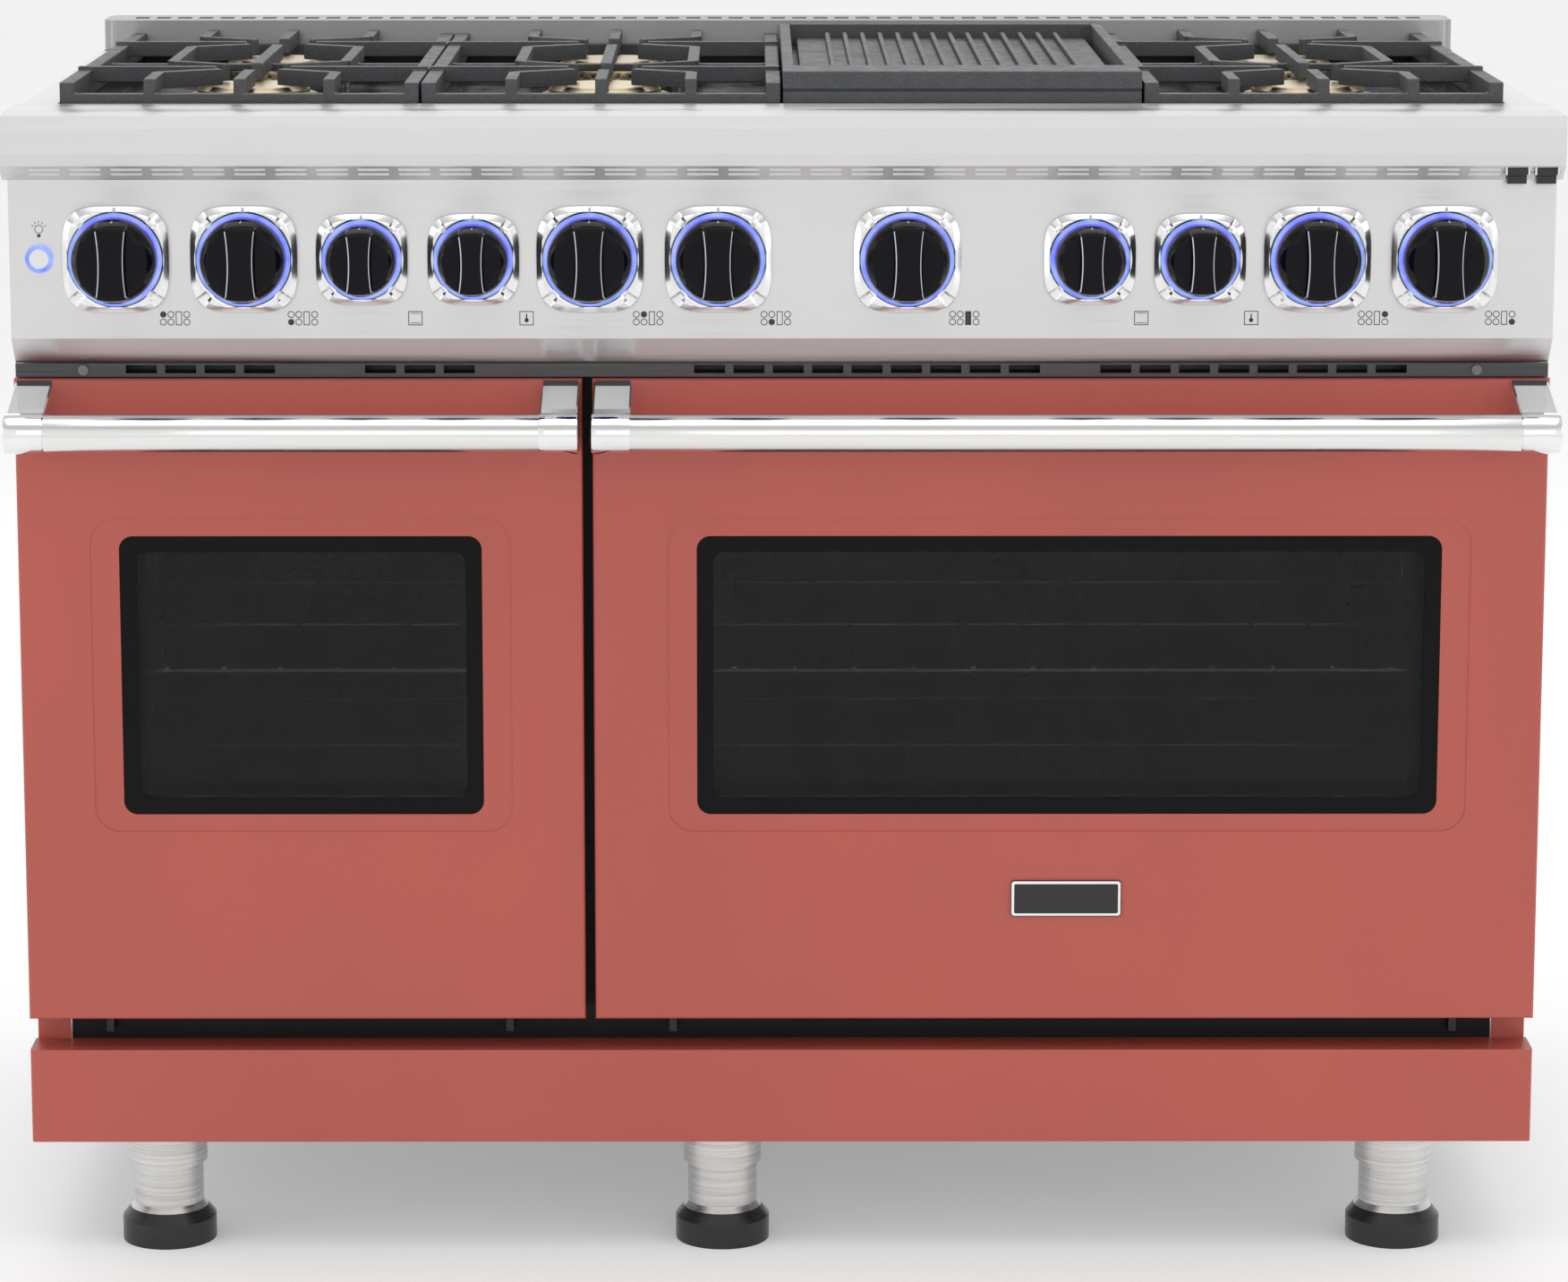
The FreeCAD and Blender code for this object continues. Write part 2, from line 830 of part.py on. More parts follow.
bezels, rings, valves = [], [], []
for name, x, grade in CONTROLS:
    square = D.bezel_big if grade == "big" else D.bezel_small
    ring_radius = D.ring_big_radius if grade == "big" else D.ring_small_radius
    knob_radius = D.knob_big_radius if grade == "big" else D.knob_small_radius
    front = panel_y - D.bezel_thickness

    bezel = new_body()
    plate = sketch(bezel, "XZ", panel_y)
    rectangle(plate, x - square / 2, x + square / 2, knob_z - square / 2, knob_z + square / 2)
    plate_pad = pad(bezel, plate, D.bezel_thickness)
    soften(bezel, plate_pad, square * 0.3, runs_along("y"))
    recess = sketch(bezel, "XZ", front)
    circle(recess, x, knob_z, ring_radius + 0.2)
    pocket(bezel, recess, D.ring_depth, backwards=False)
    through = sketch(bezel, "XZ", front)
    circle(through, x, knob_z, D.stem_radius + 3)
    pocket(bezel, through, D.bezel_thickness + 1, backwards=False)
    bezels.append(bezel)

    ring_outer = rod("Y", ring_radius, D.ring_depth - 0.5, x, front + 0.5, knob_z)
    ring_inner = rod("Y", ring_radius - D.ring_width, D.ring_depth + 2, x, front - 1, knob_z)
    rings.append(cut(ring_outer, ring_inner))

    knob_back = front - D.knob_clearance
    knob = new_body(name)
    disc = sketch(knob, "XZ", knob_back)
    circle(disc, x, knob_z, knob_radius)
    disc_pad = pad(knob, disc, D.knob_skirt)
    grip = sketch(knob, "XZ", knob_back)
    reach = knob_radius * 0.9
    end, waist = D.knob_grip_end / 2, D.knob_grip_waist / 2
    outline(
        grip,
        [
            (x - end, knob_z - reach),
            (x + end, knob_z - reach),
            (x + (end + waist) / 2, knob_z - reach / 2),
            (x + waist, knob_z),
            (x + (end + waist) / 2, knob_z + reach / 2),
            (x + end, knob_z + reach),
            (x - end, knob_z + reach),
            (x - (end + waist) / 2, knob_z + reach / 2),
            (x - waist, knob_z),
            (x - (end + waist) / 2, knob_z - reach / 2),
        ],
    )
    pad(knob, grip, D.knob_skirt + D.knob_grip)
    bore = sketch(knob, "XZ", knob_back)
    circle(bore, x, knob_z, D.stem_radius + D.running_fit)
    pocket(knob, bore, D.stem_reach, backwards=True)
    subpart(name, knob)

    stem_tip = knob_back - D.stem_reach + 1
    valve_front = panel_y + D.valve_setback
    stem = rod("Y", D.stem_radius, valve_front + D.valve_size - stem_tip, x, stem_tip, knob_z)
    block = box(x - D.valve_size / 2, x + D.valve_size / 2, valve_front,
                valve_front + D.valve_size, knob_z - D.valve_size / 2,
                knob_z + D.valve_size / 2)
    valves.append(fuse(stem, block))
subpart("knob_bezels", group("knob_bezels", bezels))

# The button's lit collar shares the node of the lit rings.
collar_flange = rod("Y", D.button_ring_radius, D.button_ring_stand, button_x,
                    panel_y - D.button_ring_stand, knob_z)
collar_barrel = rod("Y", D.button_radius + 1.5, D.button_ring_stand + 8, button_x,
                    panel_y - D.button_ring_stand, knob_z)
collar_bore = rod("Y", D.button_radius + D.running_fit, D.button_ring_stand + 12, button_x,
                  panel_y - D.button_ring_stand - 2, knob_z)
rings.append(cut(fuse(collar_flange, collar_barrel), collar_bore))
subpart("light_rings", group("light_rings", rings))
button_disc = rod("Y", D.button_radius, D.button_stand + 6, button_x,
                  panel_y - D.button_stand, knob_z)
subpart("light_button", button_disc)

manifold_y = panel_y + D.valve_setback + D.valve_size + D.manifold_radius
manifold = rod("X", D.manifold_radius, D.overall_width - 150, -half_width + 75, manifold_y,
               knob_z)
feed_y = rear - 55
riser = rod("Z", 8, knob_z - service_z - 16, inlet_x, feed_y, service_z + 16)
run = rod("Y", 8, feed_y - manifold_y, inlet_x, manifold_y, knob_z)
valves.append(fuse(manifold, run, riser))
subpart("gas_valves", group("gas_valves", valves))

# ---------------------------------------------------------------- face frame and vent strip

frame_back = carcass_y + t
strip_y = door_front + D.vent_strip_setback
strip_top = return_bottom - 0.2
frame = extruded(
    "face_frame",
    [
        (strip_y, strip_bottom),
        (strip_y, strip_top),
        (strip_y + t, strip_top),
        (strip_y + t, strip_bottom + t),
        (carcass_y, strip_bottom + t),
        (carcass_y, strip_bottom),
    ],
    -panel_half,
    panel_half,
)
frame_plate = sketch(frame, "XZ", frame_back)
rectangle(frame_plate, -deck_half, deck_half, D.leg_height, strip_top)
pad(frame, frame_plate, t)
mouths = sketch(frame, "XZ", carcass_y)
for x0, x1 in CAVITIES.values():
    rectangle(mouths, x0, x1, cavity_floor, cavity_top)
pocket(frame, mouths, t)
slot_low = strip_bottom + 2.8
for x, count in (
    (-half_width + D.vent_row_1, 4), (-half_width + D.vent_row_2, 3),
    (size(0) + D.vent_row_3, 9), (half_width - D.vent_row_4, 8),
):
    row = sketch(frame, "XZ", strip_y)
    rectangle(row, x, x + D.vent_slot_length, slot_low, slot_low + D.vent_slot_height)
    row_cut = pocket(frame, row, t)
    repeat(frame, row_cut, row, count, D.vent_slot_pitch)
subpart("face_frame", frame)

# Pan-head screws on the vent strip, and flush ones that hold the back panel to the sides.
screws = []
for x in (-half_width + 58, half_width - 61):
    screws.append(rod("Y", 4, 2.2, x, strip_y - 2.2, strip_bottom + 5.5))
for x, z in screw_spots:
    screws.append(rod("Y", D.screw_radius, D.thin_sheet, x, back_front, z))
subpart("panel_screws", group("panel_screws", screws))

# ---------------------------------------------------------------- ovens

cavities, guides, baffles, motors, gaskets, burners = [], [], [], [], [], []
FAN_SCALE = {"left": 0.8, "right": 1.0}
RACKS = {"left": (0, 1), "right": (0, 1, 2)}
fan_z = cavity_floor + (cavity_top - cavity_floor) * 0.55
wall = D.thin_sheet
for side, (x0, x1) in CAVITIES.items():
    middle = (x0 + x1) / 2
    shell = new_body()
    outer = sketch(shell, "XZ", frame_back)
    rectangle(outer, x0 - wall, x1 + wall, cavity_floor - wall, cavity_top + wall)
    pad(shell, outer, cavity_rear - frame_back, backwards=True)
    inner = sketch(shell, "XZ", frame_back)
    rectangle(inner, x0, x1, cavity_floor, cavity_top)
    pocket(shell, inner, cavity_rear - frame_back - wall)
    shaft_hole = sketch(shell, "XZ", cavity_rear - wall - 1)
    circle(shaft_hole, middle, fan_z, D.shaft_radius + 2)
    pocket(shell, shaft_hole, wall + 2)
    cavities.append(shell)

    lap = D.gasket_width
    ring_block = box(x0 - lap, x1 + lap, carcass_y - D.gasket_thickness, carcass_y,
                     cavity_floor - lap, cavity_top + lap)
    ring_hole = box(x0 - 1, x1 + 1, carcass_y - D.gasket_thickness - 1, carcass_y + 1,
                    cavity_floor - 1, cavity_top + 1)
    gaskets.append(cut(ring_block, ring_hole))

    # Wire guides on both side walls, a pair of rails at each rack.
    guide_front = frame_back + 12
    guide_rear = cavity_rear - wall - D.baffle_gap - 6
    for sign, wall_x in ((1, x0), (-1, x1)):
        rail_x = wall_x + D.guide_inset * sign
        post_x = wall_x + D.guide_radius * sign
        wires = []
        for post_y in (guide_front + 30, guide_rear - 30):
            wires.append(rod("Z", D.guide_radius, cavity_top - cavity_floor - 60, post_x,
                             post_y, cavity_floor + 30))
        for level in range(3):
            rail_z = cavity_floor + D.rack_first_rise + D.rack_spacing * level
            for drop in (0, 22):
                wires.append(rod("Y", D.guide_radius, guide_rear - guide_front, rail_x,
                                 guide_front, rail_z - drop))
        guides.append(fuse(*wires))

    # Racks lie on the upper rails and slide towards the door.
    rack_gap = D.guide_radius + D.rack_frame_radius + D.lift_clearance
    frame_x0 = x0 + D.rack_inset + D.rack_frame_radius
    frame_x1 = x1 - D.rack_inset - D.rack_frame_radius
    rack_y0 = frame_back + D.rack_front_gap
    rack_y1 = guide_rear - 4
    wire_span = (frame_x1 - frame_x0).value
    wire_count = int(wire_span // DIMENSIONS["rack_wire_pitch"])
    for level in RACKS[side]:
        rail_z = cavity_floor + D.rack_first_rise + D.rack_spacing * level
        z = rail_z + rack_gap
        wires = [
            rod("Y", D.rack_frame_radius, rack_y1 - rack_y0, frame_x0, rack_y0, z),
            rod("Y", D.rack_frame_radius, rack_y1 - rack_y0, frame_x1, rack_y0, z),
        ]
        for cross_y in (rack_y0 + 4, rack_y0 + (rack_y1 - rack_y0) / 2, rack_y1 - 4):
            wires.append(rod("X", D.rack_frame_radius, frame_x1 - frame_x0, frame_x0,
                             cross_y, z))
        for step in range(1, wire_count):
            wire_x = frame_x0 + (frame_x1 - frame_x0) * (step / wire_count)
            wires.append(rod("Y", D.rack_wire_radius, rack_y1 - rack_y0, wire_x, rack_y0,
                             z + D.rack_frame_radius * 0.8))
        subpart(f"oven_rack_{side}_{level + 1}", fuse(*wires))

    # A perforated cover stands in front of the fan.
    baffle_y = cavity_rear - wall - D.baffle_gap
    cover = new_body()
    half_span = (x1 - x0) / 2 - D.baffle_side
    low_edge, high_edge = cavity_floor + 20 - fan_z, cavity_top - 20 - fan_z
    plate = sketch(cover, "XZ")
    rectangle(plate, -half_span, half_span, low_edge, high_edge)
    pad(cover, plate, D.baffle_gap, backwards=True)
    back_hollow = sketch(cover, "XZ", wall)
    rectangle(back_hollow, -half_span + wall, half_span - wall, low_edge + wall,
              high_edge - wall)
    pocket(cover, back_hollow, D.baffle_gap)
    scale = FAN_SCALE[side]
    for row, count in enumerate((6, 12, 18)):
        hole = sketch(cover, "XZ")
        circle(hole, D.fan_radius * (scale * (row + 1) * 0.28), 0, 4.5)
        first_hole = pocket(cover, hole, wall)
        repeat_round(cover, first_hole, hole, count)
    place(cover, middle, baffle_y, fan_z)
    baffles.append(cover)

    motor_body = rod("Y", D.motor_radius, D.motor_length, middle, cavity_rear, fan_z)
    shaft = rod("Y", D.shaft_radius, D.baffle_gap, middle, cavity_rear - D.baffle_gap + 8,
                fan_z)
    motors.append(fuse(motor_body, shaft))

    fan_y = cavity_rear - wall - D.baffle_gap + 12
    radius = D.fan_radius * scale
    hub = rod("Y", D.shaft_radius * 2.5, D.fan_depth, middle, fan_y, fan_z)
    disc = rod("Y", radius, 1.5, middle, fan_y + D.fan_depth - 1.5, fan_z)
    blades = []
    for index in range(10):
        turn = 36 * index
        blade = doc.addObject("Part::Box", "Blade")
        bind(blade, "Length", radius * 0.62)
        blade.Width = 1.5
        bind(blade, "Height", D.fan_depth)
        cos, sin = math.cos(math.radians(turn)), math.sin(math.radians(turn))
        reach = radius * 0.36
        blade.Placement = FreeCAD.Placement(
            V((middle + reach * cos).value, (fan_y + D.fan_depth).value,
              (fan_z + reach * sin).value),
            FreeCAD.Rotation(V(0, 1, 0), -turn) * FreeCAD.Rotation(V(1, 0, 0), 90),
        )
        blade.setExpression("Placement.Base.x", (middle + reach * cos).text)
        blade.setExpression("Placement.Base.y", (fan_y + D.fan_depth).text)
        blade.setExpression("Placement.Base.z", (fan_z + reach * sin).text)
        blades.append(blade)
    fan_bore = rod("Y", D.shaft_radius + D.running_fit, D.fan_depth + 2, middle, fan_y - 1,
                   fan_z)
    subpart(f"convection_fan_{side}", cut(fuse(hub, disc, *blades), fan_bore))

    # The bake burner lies under the oven floor, fed from the rear.
    burner_z = (door_bottom + cavity_floor) / 2 - 8
    burners.append(rod("Y", 14, D.cavity_depth - 120, middle, frame_back + 60, burner_z))
subpart("oven_cavities", group("oven_cavities", cavities))
subpart("rack_guides", group("rack_guides", guides))
subpart("fan_covers", group("fan_covers", baffles))
subpart("fan_motors", group("fan_motors", motors))
subpart("oven_gaskets", group("oven_gaskets", gaskets))

# ---------------------------------------------------------------- doors

pin_z = door_bottom + D.hinge_rise
pin_y = door_back - D.hinge_setback
hinge_sets = []
for side, (x0, x1) in DOORS.items():
    margin = D.window_side_left if side == "left" else D.window_side_right
    w0, w1 = x0 + margin, x1 - margin
    wz1 = door_top - D.window_top_drop
    wz0 = wz1 - D.window_height

    # Painted outer skin: a tray folded back from the front face.
    skin = new_body(f"door_skin_{side}")
    face = sketch(skin, "XZ", door_front + D.skin_depth)
    rectangle(face, x0, x1, door_bottom, door_top)
    face_pad = pad(skin, face, D.skin_depth)
    soften(
        skin, face_pad, D.door_edge_radius,
        lambda a, b: near(a.y, door_front.value) and near(b.y, door_front.value),
    )
    folded = sketch(skin, "XZ", door_front + D.skin_depth)
    rectangle(folded, x0 + t, x1 - t, door_bottom + t, door_top - t)
    pocket(skin, folded, D.skin_depth - t, backwards=True)
    window = sketch(skin, "XZ", door_front)
    rectangle(window, w0, w1, wz0, wz1)
    window_cut = pocket(skin, window, t)
    soften(
        skin, window_cut, D.window_radius,
        lambda a, b: runs_along("y")(a, b)
        and near(abs(a.x - ((w0 + w1) / 2).value), ((w1 - w0) / 2).value)
        and near(abs(a.z - ((wz0 + wz1) / 2).value), ((wz1 - wz0) / 2).value),
    )
    border = sketch(skin, "XZ", door_front)
    b0, b1 = w0 - D.border_side, w1 + D.border_side
    bz0, bz1 = wz0 - D.border_top, wz1 + D.border_top
    rectangle(border, b0, b1, bz0, bz1)
    border_cut = pocket(skin, border, D.border_depth)
    soften(
        skin, border_cut, D.border_radius,
        lambda a, b: runs_along("y")(a, b)
        and near(abs(a.x - ((b0 + b1) / 2).value), ((b1 - b0) / 2).value)
        and near(abs(a.z - ((bz0 + bz1) / 2).value), ((bz1 - bz0) / 2).value),
    )
    hinge_gaps = sketch(skin, "XZ", door_front + D.skin_depth)
    for centre in (x0 + D.hinge_inset, x1 - D.hinge_inset):
        rectangle(hinge_gaps, centre - D.hinge_plate / 2 - 1, centre + D.hinge_plate / 2 + 1,
                  door_bottom - 1, door_bottom + t)
    pocket(skin, hinge_gaps, D.skin_depth - t, backwards=True)
    subpart(f"door_skin_{side}", skin)

    # Inner liner: a tray that faces the oven, with lugs round the hinge pins.
    liner_front = door_front + D.skin_depth
    tray = box(x0 + 0.6, x1 - 0.6, liner_front, door_back, door_bottom + 0.6, door_top - 0.6)
    tray_hollow = box(x0 + 0.6 + wall, x1 - 0.6 - wall, liner_front - 1, door_back - wall,
                      door_bottom + 0.6 + wall, door_top - 0.6 - wall)
    view_hole = box(w0 - 6, w1 + 6, door_back - wall - 1, door_back + 1, wz0 - 6, wz1 + 6)
    liner = cut(tray, tray_hollow, view_hole)
    lugs, notches, bores = [], [], []
    for centre in (x0 + D.hinge_inset, x1 - D.hinge_inset):
        plate_half = D.hinge_plate / 2
        for sign in (-1, 1):
            inner_x = centre + (plate_half + 1) * sign
            outer_x = inner_x + D.lug_width * sign
            low, high = (inner_x, outer_x) if sign > 0 else (outer_x, inner_x)
            lugs.append(box(low, high, pin_y - 6, door_back - wall / 2,
                            door_bottom + 0.6 + wall / 2, pin_z + 8))
        notches.append(box(centre - plate_half - 1, centre + plate_half + 1, pin_y - 8,
                           door_back + 1, door_bottom - 1, pin_z + 9))
        bores.append(rod("X", D.pin_radius + D.running_fit, D.pin_length + 2,
                         centre - D.pin_length / 2 - 1, pin_y, pin_z))
        plate = box(centre - plate_half, centre + plate_half, pin_y - 4, carcass_y,
                    pin_z - 21, pin_z + 4)
        pin = rod("X", D.pin_radius, D.pin_length, centre - D.pin_length / 2, pin_y, pin_z)
        hinge_sets.append(fuse(plate, pin))
    subpart(f"door_liner_{side}", cut(fuse(liner, *lugs), *notches, *bores))

    # Two panes: the dark outer glass behind the skin, the clear inner one on the liner.
    g = D.glass_lap
    outer_pane = box(w0 - g, w1 + g, door_front + t, door_front + t + D.glass_thickness,
                     wz0 - g, wz1 + g)
    inner_pane = box(w0 - 6 - g, w1 + 6 + g, door_back - wall - D.glass_thickness,
                     door_back - wall, wz0 - 6 - g, wz1 + 6 + g)
    subpart(f"door_glass_{side}", group(f"door_glass_{side}", [outer_pane, inner_pane]))

    # Handle: a round bar held in two end brackets that stand on the door face.
    cap_radius = D.bar_diameter / 2 + D.bracket_wall
    pieces = []
    for low in (x0 + 1, x1 - 1 - D.bracket_width):
        bracket = new_body()
        profile = sketch(bracket, "YZ", low)
        outline(
            profile,
            [
                (door_front, door_top - 1),
                (bar_y, bar_z + cap_radius * 0.98),
                (bar_y, bar_z - cap_radius * 0.98),
                (door_front, bar_z - D.bracket_foot / 2),
            ],
        )
        pad(bracket, profile, D.bracket_width)
        cap = sketch(bracket, "YZ", low)
        circle(cap, bar_y, bar_z, cap_radius)
        pad(bracket, cap, D.bracket_width)
        pieces.append(bracket)
    socket = D.bracket_width - 6
    bar_x0 = x0 + 1 + 6
    bar_length = x1 - 1 - 6 - bar_x0
    handle_bar = rod("X", D.bar_diameter / 2, bar_length, bar_x0, bar_y, bar_z)
    socket_tool = rod("X", D.bar_diameter / 2, bar_length, bar_x0, bar_y, bar_z)
    pieces = [cut(piece, socket_tool) for piece in pieces]
    subpart(f"door_handle_{side}", group(f"door_handle_{side}", [*pieces, handle_bar]))
subpart("door_hinges", group("door_hinges", hinge_sets))

right_middle = (DOORS["right"][0] + DOORS["right"][1]) / 2
badge_z = door_bottom + D.badge_rise
badge = new_body("door_badge")
badge_face = sketch(badge, "XZ", door_front)
rectangle(badge_face, right_middle - D.badge_width / 2, right_middle + D.badge_width / 2,
          badge_z - D.badge_height / 2, badge_z + D.badge_height / 2)
badge_pad = pad(badge, badge_face, D.badge_thickness)
soften(badge, badge_pad, 2, runs_along("y"))
subpart("door_badge", badge)

# ---------------------------------------------------------------- cooktop

section = deck_half * 2 / 4
SECTIONS = {
    "left": (-deck_half, -deck_half + section),
    "middle": (-deck_half + section, -deck_half + section * 2),
    "right": (-deck_half + section * 3, deck_half),
}
griddle_x0 = -deck_half + section * 2
griddle_x1 = -deck_half + section * 3
burner_rows = (ledge_rear + D.burner_from_front,
               ledge_rear + D.burner_from_front + D.burner_spacing)
rim_top = top - D.tray_rim_drop
tray_floor = rim_top - D.tray_depth

trays, bases, heads, caps = [], [], [], []
for x0, x1 in SECTIONS.values():
    middle = (x0 + x1) / 2
    pan = box(x0, x1, ledge_rear, deck_rear, tray_floor - wall, rim_top)
    rim = D.tray_rim
    well = box(x0 + rim, x1 - rim, ledge_rear + rim, deck_rear - rim, tray_floor,
               rim_top + 1)
    relief = box(x0 - 1, x1 + 1, ledge_rear - 1, deck_rear + 1, tray_floor - wall - 1,
                 rim_top - wall)
    core = box(x0 + rim - wall, x1 - rim + wall, ledge_rear + rim - wall,
               deck_rear - rim + wall, tray_floor - wall, rim_top + 2)
    skirt = cut(relief, core)
    tools = [well, skirt]
    for y in burner_rows:
        tools.append(rod("Z", D.burner_throat + 1, 20, middle, y, tray_floor - 15))
    trays.append(cut(pan, *tools))
    for y in burner_rows:
        throat = rod("Z", D.burner_throat, 30, middle, y, tray_floor - 30)
        flange = rod("Z", D.burner_base_radius, D.burner_base_height, middle, y,
                     tray_floor)
        base_solid = fuse(throat, flange)
        bases.append(base_solid)
        head_z = tray_floor + D.burner_base_height
        head = new_body()
        ring_profile = sketch(head, "XY", head_z)
        circle(ring_profile, 0, 0, D.burner_head_radius)
        pad(head, ring_profile, D.burner_head_height)
        port = sketch(head, "YZ", D.burner_head_radius - 12)
        circle(port, 0, head_z + D.burner_head_height * 0.6, D.port_diameter / 2)
        port_cut = pocket(head, port, 14, backwards=True)
        repeat_round(head, port_cut, ring_profile, D.port_count)
        place(head, middle, y, 0)
        heads.append(head)
        cap_z = head_z + D.burner_head_height
        cap_disc = rod("Z", D.burner_cap_radius, D.burner_cap_height * 0.6, middle, y, cap_z)
        crown = cone(D.burner_cap_radius, D.burner_cap_radius - 5,
                     D.burner_cap_height * 0.4, middle, y,
                     cap_z + D.burner_cap_height * 0.6)
        caps.append(fuse(cap_disc, crown))
        igniter = rod("Z", D.igniter_radius, D.burner_base_height + D.burner_head_height,
                      middle + D.burner_head_radius + 5, y, tray_floor)
        bases.append(igniter)
subpart("spill_trays", group("spill_trays", trays))
subpart("burner_bases", group("burner_bases", bases))
subpart("burner_heads", group("burner_heads", heads))
subpart("burner_caps", group("burner_caps", caps))

# Cast grates: a frame of rails, a low bar across the middle and fingers round each burner.
grate_y0 = ledge_rear + D.grate_end_gap
grate_y1 = deck_rear - D.grate_end_gap
rail_top = top + D.grate_rise
low_top = top + D.grate_low_rise
rail_bottom = rim_top + D.lift_clearance
finger_bottom = rail_top - D.grate_finger_height
for side, (s0, s1) in SECTIONS.items():
    g0, g1 = s0 + D.grate_gap / 2, s1 - D.grate_gap / 2
    rail, finger = D.grate_rail, D.grate_finger
    width = g1 - g0
    middle = (g0 + g1) / 2
    half_y = (grate_y0 + grate_y1) / 2
    solids = [
        box(g0, g0 + rail, grate_y0, grate_y1, rail_bottom, rail_top - 3),
        box(g1 - rail, g1, grate_y0, grate_y1, rail_bottom, rail_top - 3),
        box(g0, g1, grate_y0, grate_y0 + rail, rail_bottom, low_top),
        box(g0, g1, grate_y1 - rail, grate_y1, rail_bottom, low_top),
        box(g0, g1, half_y - rail / 2, half_y + rail / 2, rail_bottom + 8, low_top + 3),
    ]
    clear = D.burner_clear_radius
    for end, burner_y in zip((grate_y0, grate_y1), burner_rows):
        sign = 1 if end is grate_y0 else -1
        near_y, far_y = (end, burner_y - clear) if sign > 0 else (burner_y + clear, end)
        solids.append(box(middle - finger / 2, middle + finger / 2, near_y, far_y,
                          finger_bottom, rail_top))
        mid_low, mid_high = (
            (burner_y + clear, half_y) if sign > 0 else (half_y, burner_y - clear)
        )
        solids.append(box(middle - finger / 2, middle + finger / 2, mid_low, mid_high,
                          finger_bottom, rail_top))
        solids.append(box(g0, middle - clear, burner_y - finger / 2, burner_y + finger / 2,
                          finger_bottom, rail_top))
        solids.append(box(middle + clear, g1, burner_y - finger / 2, burner_y + finger / 2,
                          finger_bottom, rail_top))
        for flank in (-1, 1):
            spur_x = middle + width * 0.25 * flank
            tip_x = middle + clear * (0.8 * flank)
            for start_y, turn_y, tip_y in (
                (end, burner_y - 52 * sign, burner_y - clear * (0.8 * sign)),
                (half_y, burner_y + 52 * sign, burner_y + clear * (0.8 * sign)),
            ):
                low, high = (start_y, turn_y) if start_y.value < turn_y.value else (
                    turn_y, start_y)
                solids.append(box(spur_x - finger / 2, spur_x + finger / 2, low, high,
                                  finger_bottom, rail_top))
                solids.append(bar(spur_x, turn_y, tip_x, tip_y, finger, finger_bottom,
                                  rail_top))
    subpart(f"grate_{side}", fuse(*solids))

# Griddle bay: a cast surround with a wide front lip, and a ribbed plate that lifts out.
bay_top = top + D.griddle_rise
bay_y0 = ledge_rear + D.griddle_front_gap
bay_y1 = deck_rear - D.griddle_rear_gap
lip_rear = bay_y0 + D.griddle_lip_depth
wall_x0, wall_x1 = griddle_x0 + D.grate_gap / 2, griddle_x1 - D.grate_gap / 2
plate_x0 = wall_x0 + D.griddle_wall + D.griddle_side_gap
plate_x1 = wall_x1 - D.griddle_wall - D.griddle_side_gap
plate_top = top + D.griddle_plate_rise
plate_bottom = plate_top - D.griddle_plate_thickness
ledge_z = plate_bottom - D.lift_clearance
surround = box(wall_x0, wall_x1, bay_y0, bay_y1, rim_top - D.tray_depth, bay_top)
bay_open = box(wall_x0 + D.griddle_wall, wall_x1 - D.griddle_wall, lip_rear,
               bay_y1 - D.griddle_wall, ledge_z, bay_top + 1)
bay_well = box(wall_x0 + D.griddle_wall * 2.5, wall_x1 - D.griddle_wall * 2.5,
               lip_rear + 10, bay_y1 - D.griddle_wall * 2, rim_top - D.tray_depth - 1,
               bay_top)
lip_under = box(wall_x0 + D.griddle_wall, wall_x1 - D.griddle_wall, bay_y0 + 9,
                lip_rear - 9, rim_top - D.tray_depth - 1, bay_top - 9)
lip_line = box(wall_x0 - 1, wall_x1 + 1, bay_y0 - 1, bay_y0 + 1.5, top + 9, top + 10.5)
bay_flange = box(griddle_x0, griddle_x1, ledge_rear, deck_rear, rim_top - D.tray_depth,
                 rim_top - D.tray_depth + 3)
subpart(
    "griddle_surround",
    cut(fuse(surround, bay_flange), bay_open, bay_well, lip_under, lip_line),
)

plate = new_body("griddle_plate")
plate_base = sketch(plate, "XY", plate_bottom)
rectangle(plate_base, plate_x0, plate_x1, lip_rear + 2, bay_y1 - D.griddle_wall - 2)
pad(plate, plate_base, D.griddle_plate_thickness)
rib = sketch(plate, "XY", plate_top - 1)
rib_count = fitting(plate_x1 - plate_x0 - 50, "griddle_rib_pitch")
rib_span = D.griddle_rib_pitch * (rib_count - 1)
rib_start = (plate_x0 + plate_x1) / 2 - rib_span / 2
rectangle(rib, rib_start - D.griddle_rib_width / 2, rib_start + D.griddle_rib_width / 2,
          lip_rear + 14, bay_y1 - D.griddle_wall - 14)
rib_pad = pad(plate, rib, D.griddle_rib_height + 1)
repeat(plate, rib_pad, rib, rib_count, D.griddle_rib_pitch)
subpart("griddle_plate", plate)

# The griddle burner joins the two bake burners in one node.
burners.append(rod("Y", 14, bay_y1 - lip_rear - 80, (griddle_x0 + griddle_x1) / 2,
                   lip_rear + 40, rim_top - D.tray_depth - 20))
subpart("tube_burners", group("tube_burners", burners))

# ---------------------------------------------------------------- island trim

